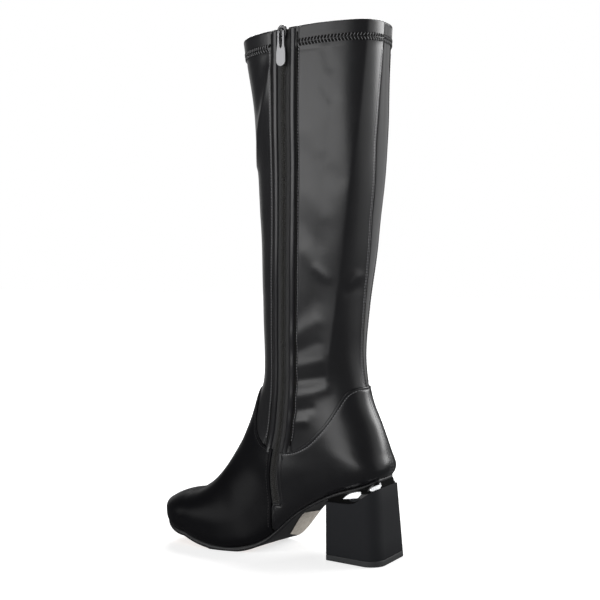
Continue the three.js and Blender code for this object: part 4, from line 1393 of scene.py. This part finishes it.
neck_x = np.linspace(heel_end + 1.2, 49.5, 60)
neck_edges = np.array([sole_edges(x, 0.6) for x in neck_x])
neck_inner, neck_outer = [np.column_stack([neck_x, neck_edges[:, k]]) for k in (0, 1)]
sole_plan = np.concatenate([neck_inner, neck_outer[::-1]])
angles = np.linspace(0, 2 * math.pi, 145)[:-1]
neck_top = by_angle(sole_plan, angles)
neck_foot = by_angle(heel_ring(58.0, 1.3), angles)
neck_layers = []
for f in (0.0, 0.2, 0.4, 0.6, 0.8, 0.92, 1.0):
    xy = neck_foot + (neck_top - neck_foot) * (0.15 * f + 0.85 * f ** 2)
    low = read_curve(HEEL_RIM, neck_foot[:, 0]) - 2.0
    z = low + (under_outsole(neck_top[:, 0]) - low) * f
    neck_layers.append(np.column_stack([xy, z]))
neck = rings_to_piece("heel_neck", neck_layers, SEAT_GLOSS)
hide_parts("heel_seat")
neck_faces = grid_faces(len(neck_layers), len(angles)).tolist()
NECK_TREE = BVHTree.FromPolygons(np.concatenate(neck_layers).tolist(), neck_faces)

WINDOWS = {
    "front": ([(17.6, 62.9), (20, 62.85), (23.3, 62.1), (27, 60.9), (31, 58.6), (34.3, 55.9)],
              [(17.6, 60.6), (20, 57.8), (23.3, 56.9), (27, 56.3), (31, 55.9), (34.3, 55.6)]),
    "rear": ([(-2.4, 70.5), (0.6, 70.3), (3, 69.6), (5.5, 68.7), (8, 67.4), (10.2, 65.9)],
             [(-2.4, 69.2), (0.6, 67.3), (3, 66.0), (5.5, 64.9), (8, 63.9), (10.2, 64.6)]),
}


def window(name, upper, lower, side):
    """A near-white plate of painted light laid on the neck between an upper and a lower curve."""
    upper, lower = smooth_line(np.array(upper), 4), smooth_line(np.array(lower), 4)
    points, rows = [], 7
    for k in range(rows):
        for (x0, z0), (x1, z1) in zip(lower, upper):
            f = k / (rows - 1)
            x, z = x0 + (x1 - x0) * f, z0 + (z1 - z0) * f
            hit = None
            while hit is None:
                hit, normal, _, _ = NECK_TREE.ray_cast(Vector((x, 60 * side, z)), Vector((0, -side, 0)))
                x += 0.3
            normal = normal if normal.y * side > 0 else -normal
            points.append(np.array(hit) + np.array(normal) * (0.35 if 0 < k < rows - 1 else 0.1))
    return solid_piece(name, points, sheet_faces(rows, len(upper)), WINDOW_PAINTED_LIGHT)


for name, (upper, lower) in WINDOWS.items():
    for side, label in ((1, "inner"), (-1, "outer")):
        window(f"heel_window_{name}_{label}", upper, lower, side)
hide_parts("heel_core")

# %% [markdown]
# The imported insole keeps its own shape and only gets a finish: a plain sock cloth.

# %% Insole
sock_material = woven("sock_cloth", (0.035, 0.033, 0.031), 0.85, 700.0, "X", 0.00008, 0.2)
frame["nodes"]["insole"].data.materials.clear()
frame["nodes"]["insole"].data.materials.append(sock_material)

# %% [markdown]
# Black leather shows only what it reflects, so the studio decides how it looks. The camera sees a
# white surround, but the leather sees a dim one, and the highlights come from seven soft panels. A
# broad one faces the zip side. Three stand behind, for the strip beside the back panel, the side of
# the heel and the back. One hangs high over the zip side for the toe and instep. On the outer side
# a bright one draws the rim and a weak one fills. The floor is white and left out of glossy
# reflections, which would turn the black foot grey.

# %% Studio
scene = bpy.context.scene
scene.view_settings.view_transform = "Standard"
world = bpy.data.worlds.new("studio")
scene.world = world
world.use_nodes = True
world_tree = world.node_tree
world_tree.nodes["Background"].inputs["Color"].default_value = (1, 1, 1, 1)
seen_directly = add(world_tree, "ShaderNodeLightPath")
strength = add(world_tree, "ShaderNodeMapRange")
SURROUND_FILL, SURROUND_SEEN = 0.1, 1.0
strength.inputs["To Min"].default_value = SURROUND_FILL
strength.inputs["To Max"].default_value = SURROUND_SEEN
world_tree.links.new(seen_directly.outputs["Is Camera Ray"], strength.inputs["Value"])
world_tree.links.new(strength.outputs["Result"], world_tree.nodes["Background"].inputs["Strength"])

floor_data = bpy.data.meshes.new("floor")
FLOOR_HALF, FLOOR_DROP = 6.0, 0.0005
floor_corners = [(x * FLOOR_HALF, y * FLOOR_HALF, -FLOOR_DROP)
                 for x, y in ((-1, -1), (1, -1), (1, 1), (-1, 1))]
floor_data.from_pydata(floor_corners, [], [(0, 1, 2, 3)])
floor = bpy.data.objects.new("floor", floor_data)
scene.collection.objects.link(floor)
floor.visible_glossy = False
floor_material, floor_shader = new_material("floor_white", (0.55, 0.55, 0.55), 0.8, specular=0.0)
floor_shader.inputs["Emission Color"].default_value = (1, 1, 1, 1)
floor_tree = floor_material.node_tree
floor_where = add(floor_tree, "ShaderNodeTexCoord")
from_boot = add(floor_tree, "ShaderNodeVectorMath", operation="LENGTH")
whiter = add(floor_tree, "ShaderNodeMapRange", interpolation_type="SMOOTHSTEP")
for socket, value in (("From Min", 0.15), ("From Max", 0.75), ("To Min", 0.66), ("To Max", 1.0)):
    whiter.inputs[socket].default_value = value
floor_tree.links.new(floor_where.outputs["Object"], from_boot.inputs[0])
floor_tree.links.new(from_boot.outputs["Value"], whiter.inputs["Value"])
floor_tree.links.new(whiter.outputs["Result"], floor_shader.inputs["Emission Strength"])
floor_data.materials.append(floor_material)
floor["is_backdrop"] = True


def panel_light(name, azimuth, height, distance, width, tall, radiance, aim_height=0.22):
    """A soft panel that faces the middle of the boot, with the brightness of its surface given."""
    data = bpy.data.lights.new(name, "AREA")
    data.shape = "RECTANGLE"
    data.size, data.size_y = width, tall
    data.energy = radiance * math.pi * width * tall
    light = bpy.data.objects.new(name, data)
    a = math.radians(azimuth)
    light.location = Vector((math.sin(a) * distance, -math.cos(a) * distance, height))
    aim = Vector((0, 0, aim_height)) - light.location
    light.rotation_euler = aim.to_track_quat("-Z", "Y").to_euler()
    scene.collection.objects.link(light)
    return light


panel_light("panel_inner", 166, 0.5, 1.7, 2.5, 0.8, 4.0, 0.3)
panel_light("panel_strip", 316, 0.8, 1.7, 1.0, 0.8, 10.0, 0.3)
panel_light("panel_heel_side", 281, 0.45, 1.7, 1.1, 1.2, 0.9, 0.3)
panel_light("panel_high", 182, 1.75, 1.3, 0.7, 0.5, 6.5)
panel_light("panel_back", 300, 1.2, 1.5, 0.8, 0.8, 2.0)
panel_light("panel_rim", 30, 1.3, 1.4, 0.8, 0.8, 16.0)
panel_light("panel_outer", 55, 0.4, 1.7, 0.5, 0.9, 0.6)

# %% [markdown]
# The box round the shown pieces, the floor left out, is found here.

# %% Sizes
low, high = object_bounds()
